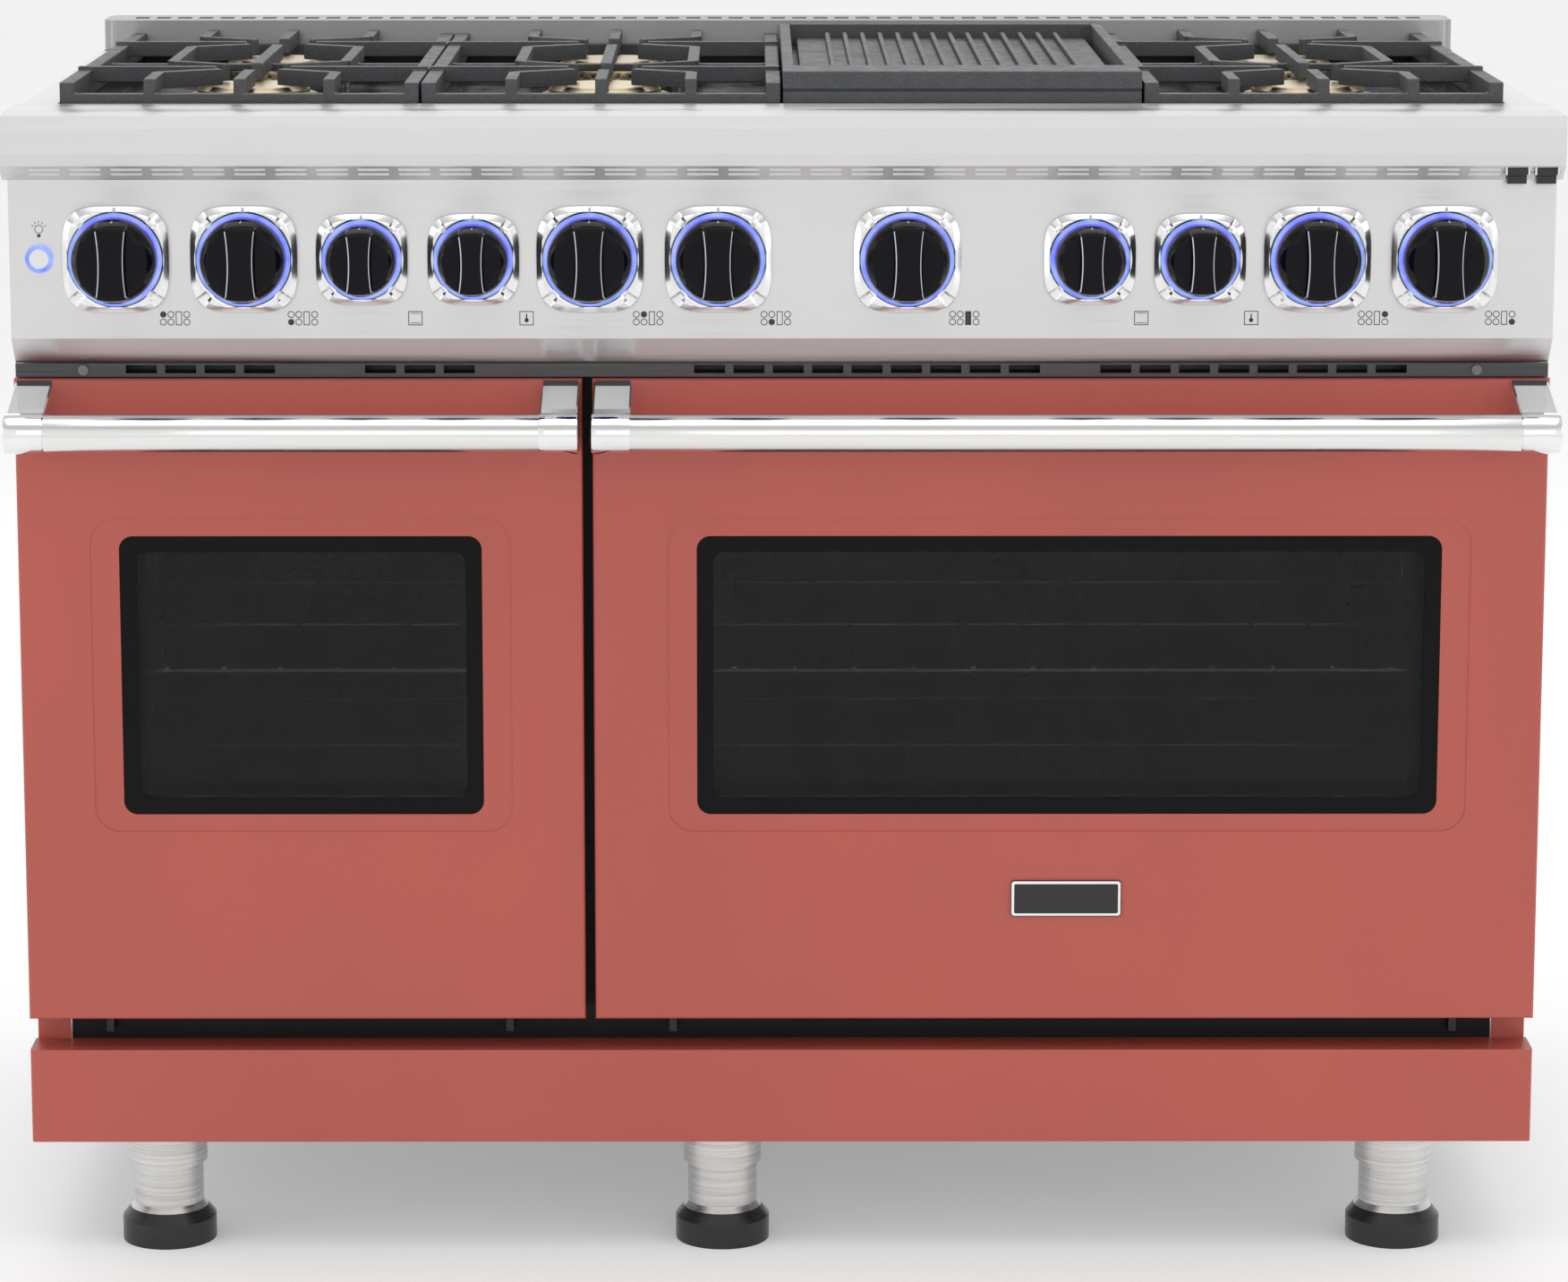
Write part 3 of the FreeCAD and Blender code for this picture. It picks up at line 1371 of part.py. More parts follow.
trim = new_body("island_trim")
trim_outer = sketch(trim, "XY", top - 12)
trim_y1 = deck_rear + D.island_trim_depth
rectangle(trim_outer, -body_half + wall, body_half - wall, deck_rear, trim_y1)
trim_pad = pad(trim, trim_outer, D.island_trim_rise + 12)
soften(trim, trim_pad, D.island_trim_radius, runs_along("z"))
trim_hollow = sketch(trim, "XY", top - 12)
rectangle(trim_hollow, -body_half + wall + 14, body_half - wall - 14, deck_rear + t,
          trim_y1 - t)
pocket(trim, trim_hollow, D.island_trim_rise + 12 - t, backwards=True)
slot_row = sketch(trim, "XY", top + D.island_trim_rise)
slot_count = fitting(body_half * 2 - 60, "trim_slot_pitch")
row_start = D.trim_slot_pitch * (-(slot_count - 1) / 2)
rectangle(slot_row, row_start - D.trim_slot_width / 2, row_start + D.trim_slot_width / 2,
          deck_rear + 20, deck_rear + 20 + D.trim_slot_length)
slot_cut = pocket(trim, slot_row, t)
repeat(trim, slot_cut, slot_row, slot_count, D.trim_slot_pitch)
subpart("island_trim", trim)

# ---------------------------------------------------------------- rear services

elbow_block = box(inlet_x - 16, inlet_x + 16, service_y - 30, service_y, service_z - 16,
                  service_z + 16)
inlet_tube = rod("Y", D.inlet_radius, 40, inlet_x, service_y - 2, service_z)
inlet_bore = rod("Y", D.inlet_bore, 30, inlet_x, rear - 28, service_z)
regulator = cut(fuse(elbow_block, inlet_tube), inlet_bore)
gland_body = rod("Y", D.gland_radius, 3, gland_x, rear - D.thin_sheet - 3, service_z)
gland_thread = rod("Y", D.gland_radius - 3, 20, gland_x, rear - 20, service_z)
gland_hole = rod("Y", D.gland_bore, 24, gland_x, rear - 22, service_z)
gland_bracket = box(gland_x - 6, gland_x + 6, rear - 18, rear - D.thin_sheet * 2.5,
                    D.leg_height + D.base_height, service_z - D.gland_radius + 4)
gland = cut(fuse(gland_body, gland_thread, gland_bracket), gland_hole)
subpart("service_inlets", group("service_inlets", [regulator, gland]))

# ---------------------------------------------------------------- checks and export

doc.recompute()
faults = []
for item in doc.Objects:
    if "Invalid" in item.State or "Error" in item.State:
        faults.append(f"{item.Name} of {item.TypeId} is {item.State}")
for item in subparts:
    if item.Shape.isNull() or not item.Shape.isValid() or not item.Shape.Solids:
        faults.append(f"{item.Label} has no valid solid")
if faults:
    raise RuntimeError("; ".join(faults))

os.makedirs("parts", exist_ok=True)
for item in subparts:
    item.Shape.exportStep(f"parts/{item.Label}.step")
    bounds = item.Shape.BoundBox
    print(
        f"{item.Label}: {len(item.Shape.Solids)} solids, "
        f"x {bounds.XMin:.1f} {bounds.XMax:.1f}, y {bounds.YMin:.1f} {bounds.YMax:.1f}, "
        f"z {bounds.ZMin:.1f} {bounds.ZMax:.1f}"
    )
print(f"{len(subparts)} nodes")
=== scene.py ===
import math

import bpy
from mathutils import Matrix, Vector


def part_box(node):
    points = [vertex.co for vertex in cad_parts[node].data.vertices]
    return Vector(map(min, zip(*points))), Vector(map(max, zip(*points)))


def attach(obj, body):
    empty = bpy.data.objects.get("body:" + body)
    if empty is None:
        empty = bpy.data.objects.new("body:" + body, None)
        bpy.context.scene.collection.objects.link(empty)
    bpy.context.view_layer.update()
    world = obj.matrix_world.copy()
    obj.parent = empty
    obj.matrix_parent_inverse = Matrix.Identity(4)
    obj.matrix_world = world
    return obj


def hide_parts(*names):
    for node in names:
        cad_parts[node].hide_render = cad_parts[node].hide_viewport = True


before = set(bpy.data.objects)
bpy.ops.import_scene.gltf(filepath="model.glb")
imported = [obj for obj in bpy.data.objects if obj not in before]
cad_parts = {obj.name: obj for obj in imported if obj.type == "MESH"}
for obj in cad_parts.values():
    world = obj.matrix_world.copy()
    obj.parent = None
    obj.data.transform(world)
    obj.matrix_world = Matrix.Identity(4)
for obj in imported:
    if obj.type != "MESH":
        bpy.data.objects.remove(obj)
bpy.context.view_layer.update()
MM = 0.001

# ---------------------------------------------------------------- materials


def linear(r, g, b):
    """An 8-bit colour as scene-linear numbers."""
    def channel(c):
        c = c / 255
        return c / 12.92 if c <= 0.04045 else ((c + 0.055) / 1.055) ** 2.4
    return (channel(r), channel(g), channel(b))


def scaled(color, factor):
    return tuple(min(1.0, c * factor) for c in color)


class Nodes:
    """A small helper round one material's node tree."""

    def __init__(self, name):
        self.material = bpy.data.materials.new(name)
        self.material.use_nodes = True
        self.tree = self.material.node_tree
        self.bsdf = self.tree.nodes["Principled BSDF"]
        self.out = self.tree.nodes["Material Output"]
        self.coord = self.add("ShaderNodeTexCoord")

    def add(self, kind, **values):
        node = self.tree.nodes.new(kind)
        for key, value in values.items():
            setattr(node, key, value)
        return node

    def link(self, source, target):
        self.tree.links.new(source, target)

    def noise(self, scale, detail=4.0, roughness=0.55):
        mapping = self.add("ShaderNodeMapping")
        mapping.inputs["Scale"].default_value = scale
        self.link(self.coord.outputs["Object"], mapping.inputs["Vector"])
        noise = self.add("ShaderNodeTexNoise")
        noise.inputs["Scale"].default_value = 1.0
        noise.inputs["Detail"].default_value = detail
        noise.inputs["Roughness"].default_value = roughness
        self.link(mapping.outputs["Vector"], noise.inputs["Vector"])
        return noise.outputs["Fac"]

    def remap(self, value, low, high, start=0.3, end=0.7):
        node = self.add("ShaderNodeMapRange")
        node.inputs["From Min"].default_value = start
        node.inputs["From Max"].default_value = end
        node.inputs["To Min"].default_value = low
        node.inputs["To Max"].default_value = high
        self.link(value, node.inputs["Value"])
        return node.outputs["Result"]

    def blend(self, factor, first, second):
        node = self.add("ShaderNodeMix", data_type="RGBA")
        if isinstance(factor, float):
            node.inputs[0].default_value = factor
        else:
            self.link(factor, node.inputs[0])
        for socket, color in ((node.inputs[6], first), (node.inputs[7], second)):
            if isinstance(color, tuple):
                socket.default_value = (*color[:3], 1.0)
            else:
                self.link(color, socket)
        return node.outputs[2]

    def bump(self, value, strength, distance, normal=None):
        node = self.add("ShaderNodeBump")
        node.inputs["Strength"].default_value = strength
        node.inputs["Distance"].default_value = distance
        self.link(value, node.inputs["Height"])
        if normal is not None:
            self.link(normal, node.inputs["Normal"])
        return node.outputs["Normal"]

    def below(self, height):
        """1 under a height in metres and 0 over it, and then the reverse."""
        split = self.add("ShaderNodeSeparateXYZ")
        self.link(self.coord.outputs["Object"], split.inputs["Vector"])
        under = self.add("ShaderNodeMath", operation="LESS_THAN")
        self.link(split.outputs["Z"], under.inputs[0])
        under.inputs[1].default_value = height
        over = self.add("ShaderNodeMath", operation="SUBTRACT")
        over.inputs[0].default_value = 1.0
        self.link(under.outputs[0], over.inputs[1])
        return under.outputs[0], over.outputs[0]


def brushed(name, color, along, roughness=0.3, strength=0.12, aniso=0.6, tint=0.05):
    """Brushed metal: fine streaks that run along one axis, over slow broad marks."""
    n = Nodes(name)
    fine = [1400.0, 1400.0, 1400.0]
    fine["XYZ".index(along)] = 9.0
    broad = [16.0, 16.0, 16.0]
    broad["XYZ".index(along)] = 2.5
    streaks = n.noise(fine, 3.0, 0.6)
    marks = n.noise(broad, 3.0)
    near_color = n.blend(n.remap(streaks, 0.0, 1.0), scaled(color, 1 - tint),
                         scaled(color, 1 + tint))
    n.link(n.blend(n.remap(marks, 0.0, 0.35), near_color, scaled(color, 0.93)),
           n.bsdf.inputs["Base Color"])
    n.bsdf.inputs["Metallic"].default_value = 1.0
    n.link(n.remap(streaks, roughness * 0.8, roughness * 1.25),
           n.bsdf.inputs["Roughness"])
    n.bsdf.inputs["Anisotropic"].default_value = aniso
    n.bsdf.inputs["Anisotropic Rotation"].default_value = 0.25 if along == "X" else 0.0
    tangent = n.add("ShaderNodeTangent", direction_type="RADIAL", axis="Z")
    n.link(tangent.outputs["Tangent"], n.bsdf.inputs["Tangent"])
    n.link(n.bump(streaks, strength, 0.00005), n.bsdf.inputs["Normal"])
    return n.material


def plain(name, color, metallic, roughness, grain=300.0, strength=0.1, distance=0.0001,
          tint=0.08, shine=0.5):
    """Any solid finish: fine grain in its colour, gloss and relief, over slow wear marks."""
    n = Nodes(name)
    fine = n.noise((grain,) * 3, 5.0)
    slow = n.noise((14.0, 14.0, 14.0), 3.0)
    shade = n.blend(n.remap(fine, 0.0, 1.0), scaled(color, 1 - tint),
                    scaled(color, 1 + tint))
    n.link(n.blend(n.remap(slow, 0.0, 0.4), shade, scaled(color, 0.9)),
           n.bsdf.inputs["Base Color"])
    n.bsdf.inputs["Metallic"].default_value = metallic
    n.link(n.remap(slow, roughness * 0.8, roughness * 1.2), n.bsdf.inputs["Roughness"])
    n.bsdf.inputs["Specular IOR Level"].default_value = shine
    n.link(n.bump(fine, strength, distance), n.bsdf.inputs["Normal"])
    return n.material


def coral_enamel():
    """Painted steel: slow soft shading, a fine orange peel and a satin coat."""
    n = Nodes("coral_enamel")
    peel = n.noise((420.0, 420.0, 420.0), 2.0)
    slow = n.noise((3.5, 3.5, 2.2), 3.0)
    color = linear(176, 79, 67)
    shade = n.blend(n.remap(slow, 0.0, 1.0), scaled(color, 0.93), scaled(color, 1.06))
    n.link(shade, n.bsdf.inputs["Base Color"])
    n.link(n.remap(slow, 0.42, 0.5), n.bsdf.inputs["Roughness"])
    n.bsdf.inputs["Coat Weight"].default_value = 0.25
    n.bsdf.inputs["Coat Roughness"].default_value = 0.28
    n.link(n.bump(peel, 0.06, 0.0001), n.bsdf.inputs["Normal"])
    return n.material


def cast_iron():
    """Enamelled cast iron: a pebbled dark grey surface over slow lumps."""
    n = Nodes("cast_iron_grate")
    pebble = n.noise((620.0, 620.0, 620.0), 6.0, 0.7)
    lumps = n.noise((90.0, 90.0, 90.0), 4.0)
    shade = n.blend(n.remap(pebble, 0.0, 1.0), linear(50, 51, 54), linear(84, 86, 90))
    n.link(n.blend(n.remap(lumps, 0.0, 0.4), shade, linear(60, 61, 64)),
           n.bsdf.inputs["Base Color"])
    n.link(n.remap(lumps, 0.42, 0.6), n.bsdf.inputs["Roughness"])
    n.bsdf.inputs["Specular IOR Level"].default_value = 0.6
    rough = n.bump(pebble, 0.35, 0.0003)
    n.link(n.bump(lumps, 0.2, 0.001, rough), n.bsdf.inputs["Normal"])
    return n.material


def porcelain(name, color, speck):
    """Glossy oven enamel with pale specks."""
    n = Nodes(name)
    cells = n.add("ShaderNodeTexVoronoi")
    cells.inputs["Scale"].default_value = 420.0
    n.link(n.coord.outputs["Object"], cells.inputs["Vector"])
    dots = n.remap(cells.outputs["Distance"], 1.0, 0.0, 0.04, 0.14)
    n.link(n.blend(dots, color, speck), n.bsdf.inputs["Base Color"])
    slow = n.noise((30.0, 30.0, 30.0), 3.0)
    n.link(n.remap(slow, 0.16, 0.3), n.bsdf.inputs["Roughness"])
    n.link(n.bump(slow, 0.1, 0.0005), n.bsdf.inputs["Normal"])
    return n.material


def tinted_glass():
    """Dark oven glass: mostly see-through and dim, with a clear reflection at the surface."""
    n = Nodes("oven_glass")
    n.tree.nodes.remove(n.bsdf)
    smudge = n.noise((22.0, 22.0, 22.0), 3.0)
    through = n.add("ShaderNodeBsdfTransparent")
    n.link(n.blend(n.remap(smudge, 0.0, 1.0), (0.66, 0.66, 0.67), (0.72, 0.72, 0.73)),
           through.inputs["Color"])
    mirror = n.add("ShaderNodeBsdfGlossy")
    mirror.inputs["Color"].default_value = (0.5, 0.5, 0.52, 1.0)
    n.link(n.remap(smudge, 0.02, 0.06), mirror.inputs["Roughness"])
    fresnel = n.add("ShaderNodeFresnel")
    fresnel.inputs["IOR"].default_value = 1.35
    mix = n.add("ShaderNodeMixShader")
    n.link(fresnel.outputs["Fac"], mix.inputs[0])
    n.link(through.outputs["BSDF"], mix.inputs[1])
    n.link(mirror.outputs["BSDF"], mix.inputs[2])
    n.link(mix.outputs["Shader"], n.out.inputs["Surface"])
    return n.material


def lit_ring(name, first, second, strength):
    """A frosted light guide that glows between two colours, also used as painted light on the knob
    skirts.
    """
    n = Nodes(name)
    flow = n.noise((60.0, 60.0, 60.0), 2.0)
    color = n.blend(n.remap(flow, 0.0, 1.0), first, second)
    n.link(color, n.bsdf.inputs["Emission Color"])
    n.link(n.blend(0.93, color, (0.01, 0.01, 0.03)), n.bsdf.inputs["Base Color"])
    n.bsdf.inputs["Specular IOR Level"].default_value = 0.15
    n.bsdf.inputs["Emission Strength"].default_value = strength
    n.bsdf.inputs["Roughness"].default_value = 0.3
    return n.material


VENT_STRIP_BASE = 0.7155
FOOT_TOP = 0.0275


def frame_metal():
    """The face frame: steel painted dark grey on the vent strip and near black behind the doors, both
    painted shade for steel that lies in shadow.
    """
    n = Nodes("frame_metal")
    streaks = n.noise((9.0, 900.0, 900.0), 3.0)
    # Below the vent strip the mask picks near-black painted shade for the steel in the gap behind the
    # doors.
    enamel, metal = n.below(VENT_STRIP_BASE)
    # The vent strip's steel is painted dark grey: painted shade of its recess.
    steel = n.blend(n.remap(streaks, 0.0, 1.0), (0.07, 0.068, 0.07), (0.11, 0.108, 0.11))
    n.link(n.blend(enamel, steel, (0.006, 0.006, 0.006)), n.bsdf.inputs["Base Color"])
    n.link(metal, n.bsdf.inputs["Metallic"])
    n.link(n.remap(streaks, 0.36, 0.5), n.bsdf.inputs["Roughness"])
    n.bsdf.inputs["Specular IOR Level"].default_value = 0.2
    n.link(n.bump(streaks, 0.1, 0.0001), n.bsdf.inputs["Normal"])
    return n.material


def leg_metal():
    """Brushed steel post, with the black moulded foot below it."""
    n = Nodes("leg_metal")
    streaks = n.noise((9.0, 9.0, 900.0), 3.0)
    foot, metal = n.below(FOOT_TOP)
    steel = n.blend(n.remap(streaks, 0.0, 1.0), (0.5, 0.5, 0.49), (0.72, 0.72, 0.71))
    n.link(n.blend(foot, steel, (0.012, 0.012, 0.013)), n.bsdf.inputs["Base Color"])
    n.link(metal, n.bsdf.inputs["Metallic"])
    n.link(n.remap(streaks, 0.22, 0.36), n.bsdf.inputs["Roughness"])
    n.link(n.bump(streaks, 0.12, 0.0001), n.bsdf.inputs["Normal"])
    return n.material


STEEL = (0.69, 0.688, 0.684)
M = {
    "steel_x": brushed("brushed_steel_across", STEEL, "X", 0.36, 0.07, 0.8, 0.03),
    # The island trim is the brushed steel painted much darker: painted shade on the trim.
    "trim": brushed("island_trim_steel", (0.4, 0.4, 0.4), "X", 0.4, 0.07, 0.8, 0.03),
    "steel_z": brushed("brushed_steel_upright", STEEL, "Z", 0.34),
    "bar": brushed("handle_bar_steel", (0.8, 0.8, 0.79), "X", 0.16, 0.05, 0.4),
    "chrome": plain("polished_chrome", (0.86, 0.86, 0.87), 1.0, 0.07, 120.0, 0.02, tint=0.02),
    "galvanised": plain("galvanised_sheet", (0.45, 0.46, 0.47), 1.0, 0.42, 60.0, 0.1),
    "coral": coral_enamel(),
    "iron": cast_iron(),
    "enamel": porcelain("oven_enamel", (0.012, 0.012, 0.014), (0.16, 0.16, 0.17)),
    "tray": porcelain("tray_enamel", (0.008, 0.008, 0.009), (0.05, 0.05, 0.05)),
    "brass": plain("burner_brass", (0.72, 0.6, 0.4), 1.0, 0.34, 260.0, 0.15),
    "aluminium": plain("cast_aluminium", (0.55, 0.55, 0.55), 1.0, 0.5, 220.0, 0.25),
    "wire": plain("bright_wire", (0.75, 0.75, 0.75), 1.0, 0.18, 200.0, 0.05),
    "seal": plain("woven_seal", (0.02, 0.02, 0.02), 0.0, 0.85, 900.0, 0.8, 0.0006),
    "knob": plain("knob_gloss", (0.004, 0.004, 0.006), 0.0, 0.12, 160.0, 0.02, shine=0.14),
    "black": plain("switch_plastic", (0.012, 0.012, 0.013), 0.0, 0.4, 700.0, 0.2),
    "print": plain("panel_print", (0.03, 0.03, 0.032), 0.0, 0.5, 500.0, 0.05),
    "index": plain("knob_index", (0.55, 0.57, 0.62), 0.3, 0.3, 300.0, 0.05),
    "frit": plain("glass_border", (0.003, 0.003, 0.0033), 0.0, 0.2, 900.0, 0.03, shine=0.12),
    "badge": plain("badge_plate", (0.02, 0.02, 0.022), 0.0, 0.25, 400.0, 0.1, shine=0.4),
    "glass": tinted_glass(),
    "ring": lit_ring("ring_pale", (0.16, 0.24, 1.0), (0.34, 0.46, 1.0), 1.15),
    "ring_deep": lit_ring("ring_violet", (0.09, 0.04, 1.0), (0.2, 0.15, 1.0), 1.8),
    # Painted light: the knob skirts glow as if lit by the rings, though they are no lamp.
    "skirt": lit_ring("skirt_glow", (0.05, 0.02, 0.5), (0.12, 0.06, 0.9), 1.2),
    "bezel": plain("bezel_chrome", (0.82, 0.82, 0.83), 1.0, 0.2, 120.0, 0.03, tint=0.02),
    "screw": plain("screw_head", (0.2, 0.2, 0.2), 1.0, 0.4, 300.0, 0.1),
    "leg": leg_metal(),
    "frame": frame_metal(),
    "hinge": plain("hinge_steel", (0.05, 0.05, 0.05), 1.0, 0.5, 300.0, 0.1),
}

FINISHES = {
    "side_panels": "steel_z", "back_panel": "steel_z", "base_pan": "galvanised",
    "kick_panel": "coral", "levelling_legs": "leg", "landing_ledge": "steel_x",
    "control_panel": "steel_x", "knob_bezels": "chrome", "light_rings": "ring",
    "gas_valves": "brass", "face_frame": "frame", "panel_screws": "screw",
    "oven_cavities": "enamel", "rack_guides": "wire", "fan_covers": "enamel",
    "fan_motors": "galvanised", "oven_gaskets": "seal", "door_hinges": "hinge",
    "spill_trays": "tray", "burner_bases": "aluminium", "burner_heads": "brass",
    "burner_caps": "brass", "griddle_surround": "iron", "tube_burners": "galvanised",
    "island_trim": "trim", "service_inlets": "brass", "light_button": "chrome",
    "rocker_switch_left": "black", "rocker_switch_right": "black", "griddle_plate": "iron",
    "door_badge": "badge",
}


def finish_of(node):
    """The material name of a CAD node."""
    if node in FINISHES:
        return FINISHES[node]
    for start, name in (
        ("knob_", "knob"), ("grate_", "iron"), ("oven_rack_", "wire"),
        ("convection_fan_", "galvanised"), ("door_skin_", "coral"),
        ("door_liner_", "enamel"), ("door_glass_", "glass"), ("door_handle_", "chrome"),
    ):
        if node.startswith(start):
            return name
    raise ValueError(node)


def coat(thing, name):
    thing.data.materials.clear()
    thing.data.materials.append(M[name])


def soften(thing, width):
    """Small rounded edges, which catch the light as real ones do."""
    weld = thing.modifiers.new("Weld", "WELD")
    weld.merge_threshold = 0.00002
    bevel = thing.modifiers.new("Edges", "BEVEL")
    bevel.width = width * MM
    bevel.segments = 2
    bevel.limit_method = "ANGLE"
    bevel.angle_limit = math.radians(35.0)
    bevel.harden_normals = False
    bevel.use_clamp_overlap = True


EDGES = {
    "landing_ledge": 0.9, "kick_panel": 0.8, "island_trim": 0.8,
    "griddle_surround": 1.6, "griddle_plate": 1.0, "grate_left": 1.8, "grate_middle": 1.8,
    "grate_right": 1.8, "burner_caps": 0.8, "burner_heads": 0.5, "spill_trays": 0.8,
    "side_panels": 0.5,
}
for node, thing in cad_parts.items():
    coat(thing, finish_of(node))
    if node in EDGES:
        soften(thing, EDGES[node])

# ---------------------------------------------------------------- mesh helpers


def piece(name, shape, body, finish, smooth=30.0):
    """A new mesh piece, from a shape in millimetres, riding on a body."""
    mesh = bpy.data.meshes.new(name)
    mesh.from_pydata([Vector(v) * MM for v in shape.verts], [], shape.faces)
    mesh.validate()
    mesh.update()
    thing = bpy.data.objects.new(name, mesh)
    bpy.context.scene.collection.objects.link(thing)
    for polygon in mesh.polygons:
        polygon.use_smooth = True
    mesh.set_sharp_from_angle(angle=math.radians(smooth))
    mesh.materials.append(M[finish])
    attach(thing, body)
    return thing


class Shape:
    """Collects vertices and faces, so that many small forms make one piece."""

    def __init__(self):
        self.verts = []
        self.faces = []

    def loft(self, rings, cap_first=False, cap_last=False):
        """Joins closed rings of equal length."""
        base = len(self.verts)
        count = len(rings[0])
        for ring in rings:
            self.verts.extend(ring)
        for r in range(len(rings) - 1):
            for i in range(count):
                j = (i + 1) % count
                a = base + r * count
                b = a + count
                self.faces.append((a + i, a + j, b + j, b + i))
        if cap_first:
            self.faces.append(tuple(base + i for i in reversed(range(count))))
        if cap_last:
            last = base + (len(rings) - 1) * count
            self.faces.append(tuple(last + i for i in range(count)))

    def prism(self, outline, low, high):
        """A closed outline in X and Z, carried between two depths along Y."""
        self.loft([at_depth(outline, low), at_depth(outline, high)], True, True)


def at_depth(outline, y):
    """An outline in X and Z, placed at one depth along Y."""
    return [(x, y, z) for x, z in outline]


def rounded(x0, x1, z0, z1, radius, steps=8):
    """A rounded rectangle, as points that run round it once."""
    points = []
    for cx, cz, start in (
        (x1 - radius, z1 - radius, 0), (x0 + radius, z1 - radius, 90),
        (x0 + radius, z0 + radius, 180), (x1 - radius, z0 + radius, 270),
    ):
        for i in range(steps + 1):
            a = math.radians(start + 90 * i / steps)
            points.append((cx + radius * math.cos(a), cz + radius * math.sin(a)))
    return points


def disc(cx, cz, radius, count):
    """A circle, as points that run round it once."""
    return [
        (cx + radius * math.cos(2 * math.pi * i / count),
         cz + radius * math.sin(2 * math.pi * i / count))
        for i in range(count)
    ]


def corners(node):
    """The low and high corner of a CAD node's box, in millimetres."""
    low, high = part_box(node)
    return [c / MM for c in low], [c / MM for c in high]


def centre(node):
    """The X and Z of the middle of a CAD node's box."""
    low, high = corners(node)
    return (low[0] + high[0]) / 2, (low[2] + high[2]) / 2


# ---------------------------------------------------------------- knobs, bezels and lit rings

KNOBS = sorted(
    (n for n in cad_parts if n.startswith("knob_") and n != "knob_bezels"),
    key=lambda n: corners(n)[0][0],
)
bezel_low, bezel_high = corners("knob_bezels")
panel_y = bezel_high[1]
bezel_front = bezel_low[1]

# A knob with a radius over LARGE_OVER sits in the large bezel. Each bezel has half its width,
# the radius of its lit ring, and how far above the middle its index mark ends.
LARGE_OVER = 30.0
LARGE = {"half": 42.25, "ring": 36.0, "mark_end": 41.0}
SMALL = {"half": 36.25, "ring": 30.5, "mark_end": 35.0}
BAND = 2.4
GRIP_WAIST, GRIP_END = 0.315, 0.41
RING_POINTS = 96


def superellipse(cx, cz, half, power, count):
    """A square whose sides and corners are rounded, more so at a lower power."""
    points = []
    for i in range(count):
        a = 2 * math.pi * i / count
        c, s = math.cos(a), math.sin(a)
        r = half / (abs(c) ** power + abs(s) ** power) ** (1 / power)
        points.append((cx + r * c, cz + r * s))
    return points


def bezel_rings(cx, cz, half, ring):
    """A cushion-shaped chrome surround with a groove on each diagonal."""
    count = 120
    front = bezel_front

    def dip(i):
        angle = 360 * i / count
        away = min(abs(angle - corner) for corner in (45, 135, 225, 315))
        return 1.6 if away < 4.6 else 0.0

    def at(points, y, sink):
        return [(u, y + sink * dip(i), v) for i, (u, v) in enumerate(points)]

    def mixed(t):
        outer = superellipse(cx, cz, half - 5.0, 3.4, count)
        inner = disc(cx, cz, ring + 2.2, count)
        return [
            (a[0] + (b[0] - a[0]) * t, a[1] + (b[1] - a[1]) * t)
            for a, b in zip(outer, inner)
        ]

    return [
        at(superellipse(cx, cz, half, 3.6, count), panel_y, 0),
        at(superellipse(cx, cz, half, 3.6, count), front + 4.6, 0),
        at(superellipse(cx, cz, half - 0.6, 3.6, count), front + 3.2, 0.4),
        at(superellipse(cx, cz, half - 4.4, 3.5, count), front + 0.5, 1),
        at(mixed(0.0), front + 0.1, 1),
        at(mixed(0.7), front, 1),
        at(disc(cx, cz, ring + 2.2, count), front, 0.2),
        at(disc(cx, cz, ring + 0.7, count), front + 0.5, 0),
        at(disc(cx, cz, ring + 0.3, count), front + 1.6, 0),
        at(disc(cx, cz, ring + 0.3, count), front + 6.0, 0),
        at(disc(cx, cz, 8.0, count), front + 6.0, 0),
    ]


def grip_half(t):
    """Half the grip's width as a share of the radius, from t = -1 at its foot to 1 at its top."""
    return GRIP_WAIST + (GRIP_END - GRIP_WAIST) * t * t


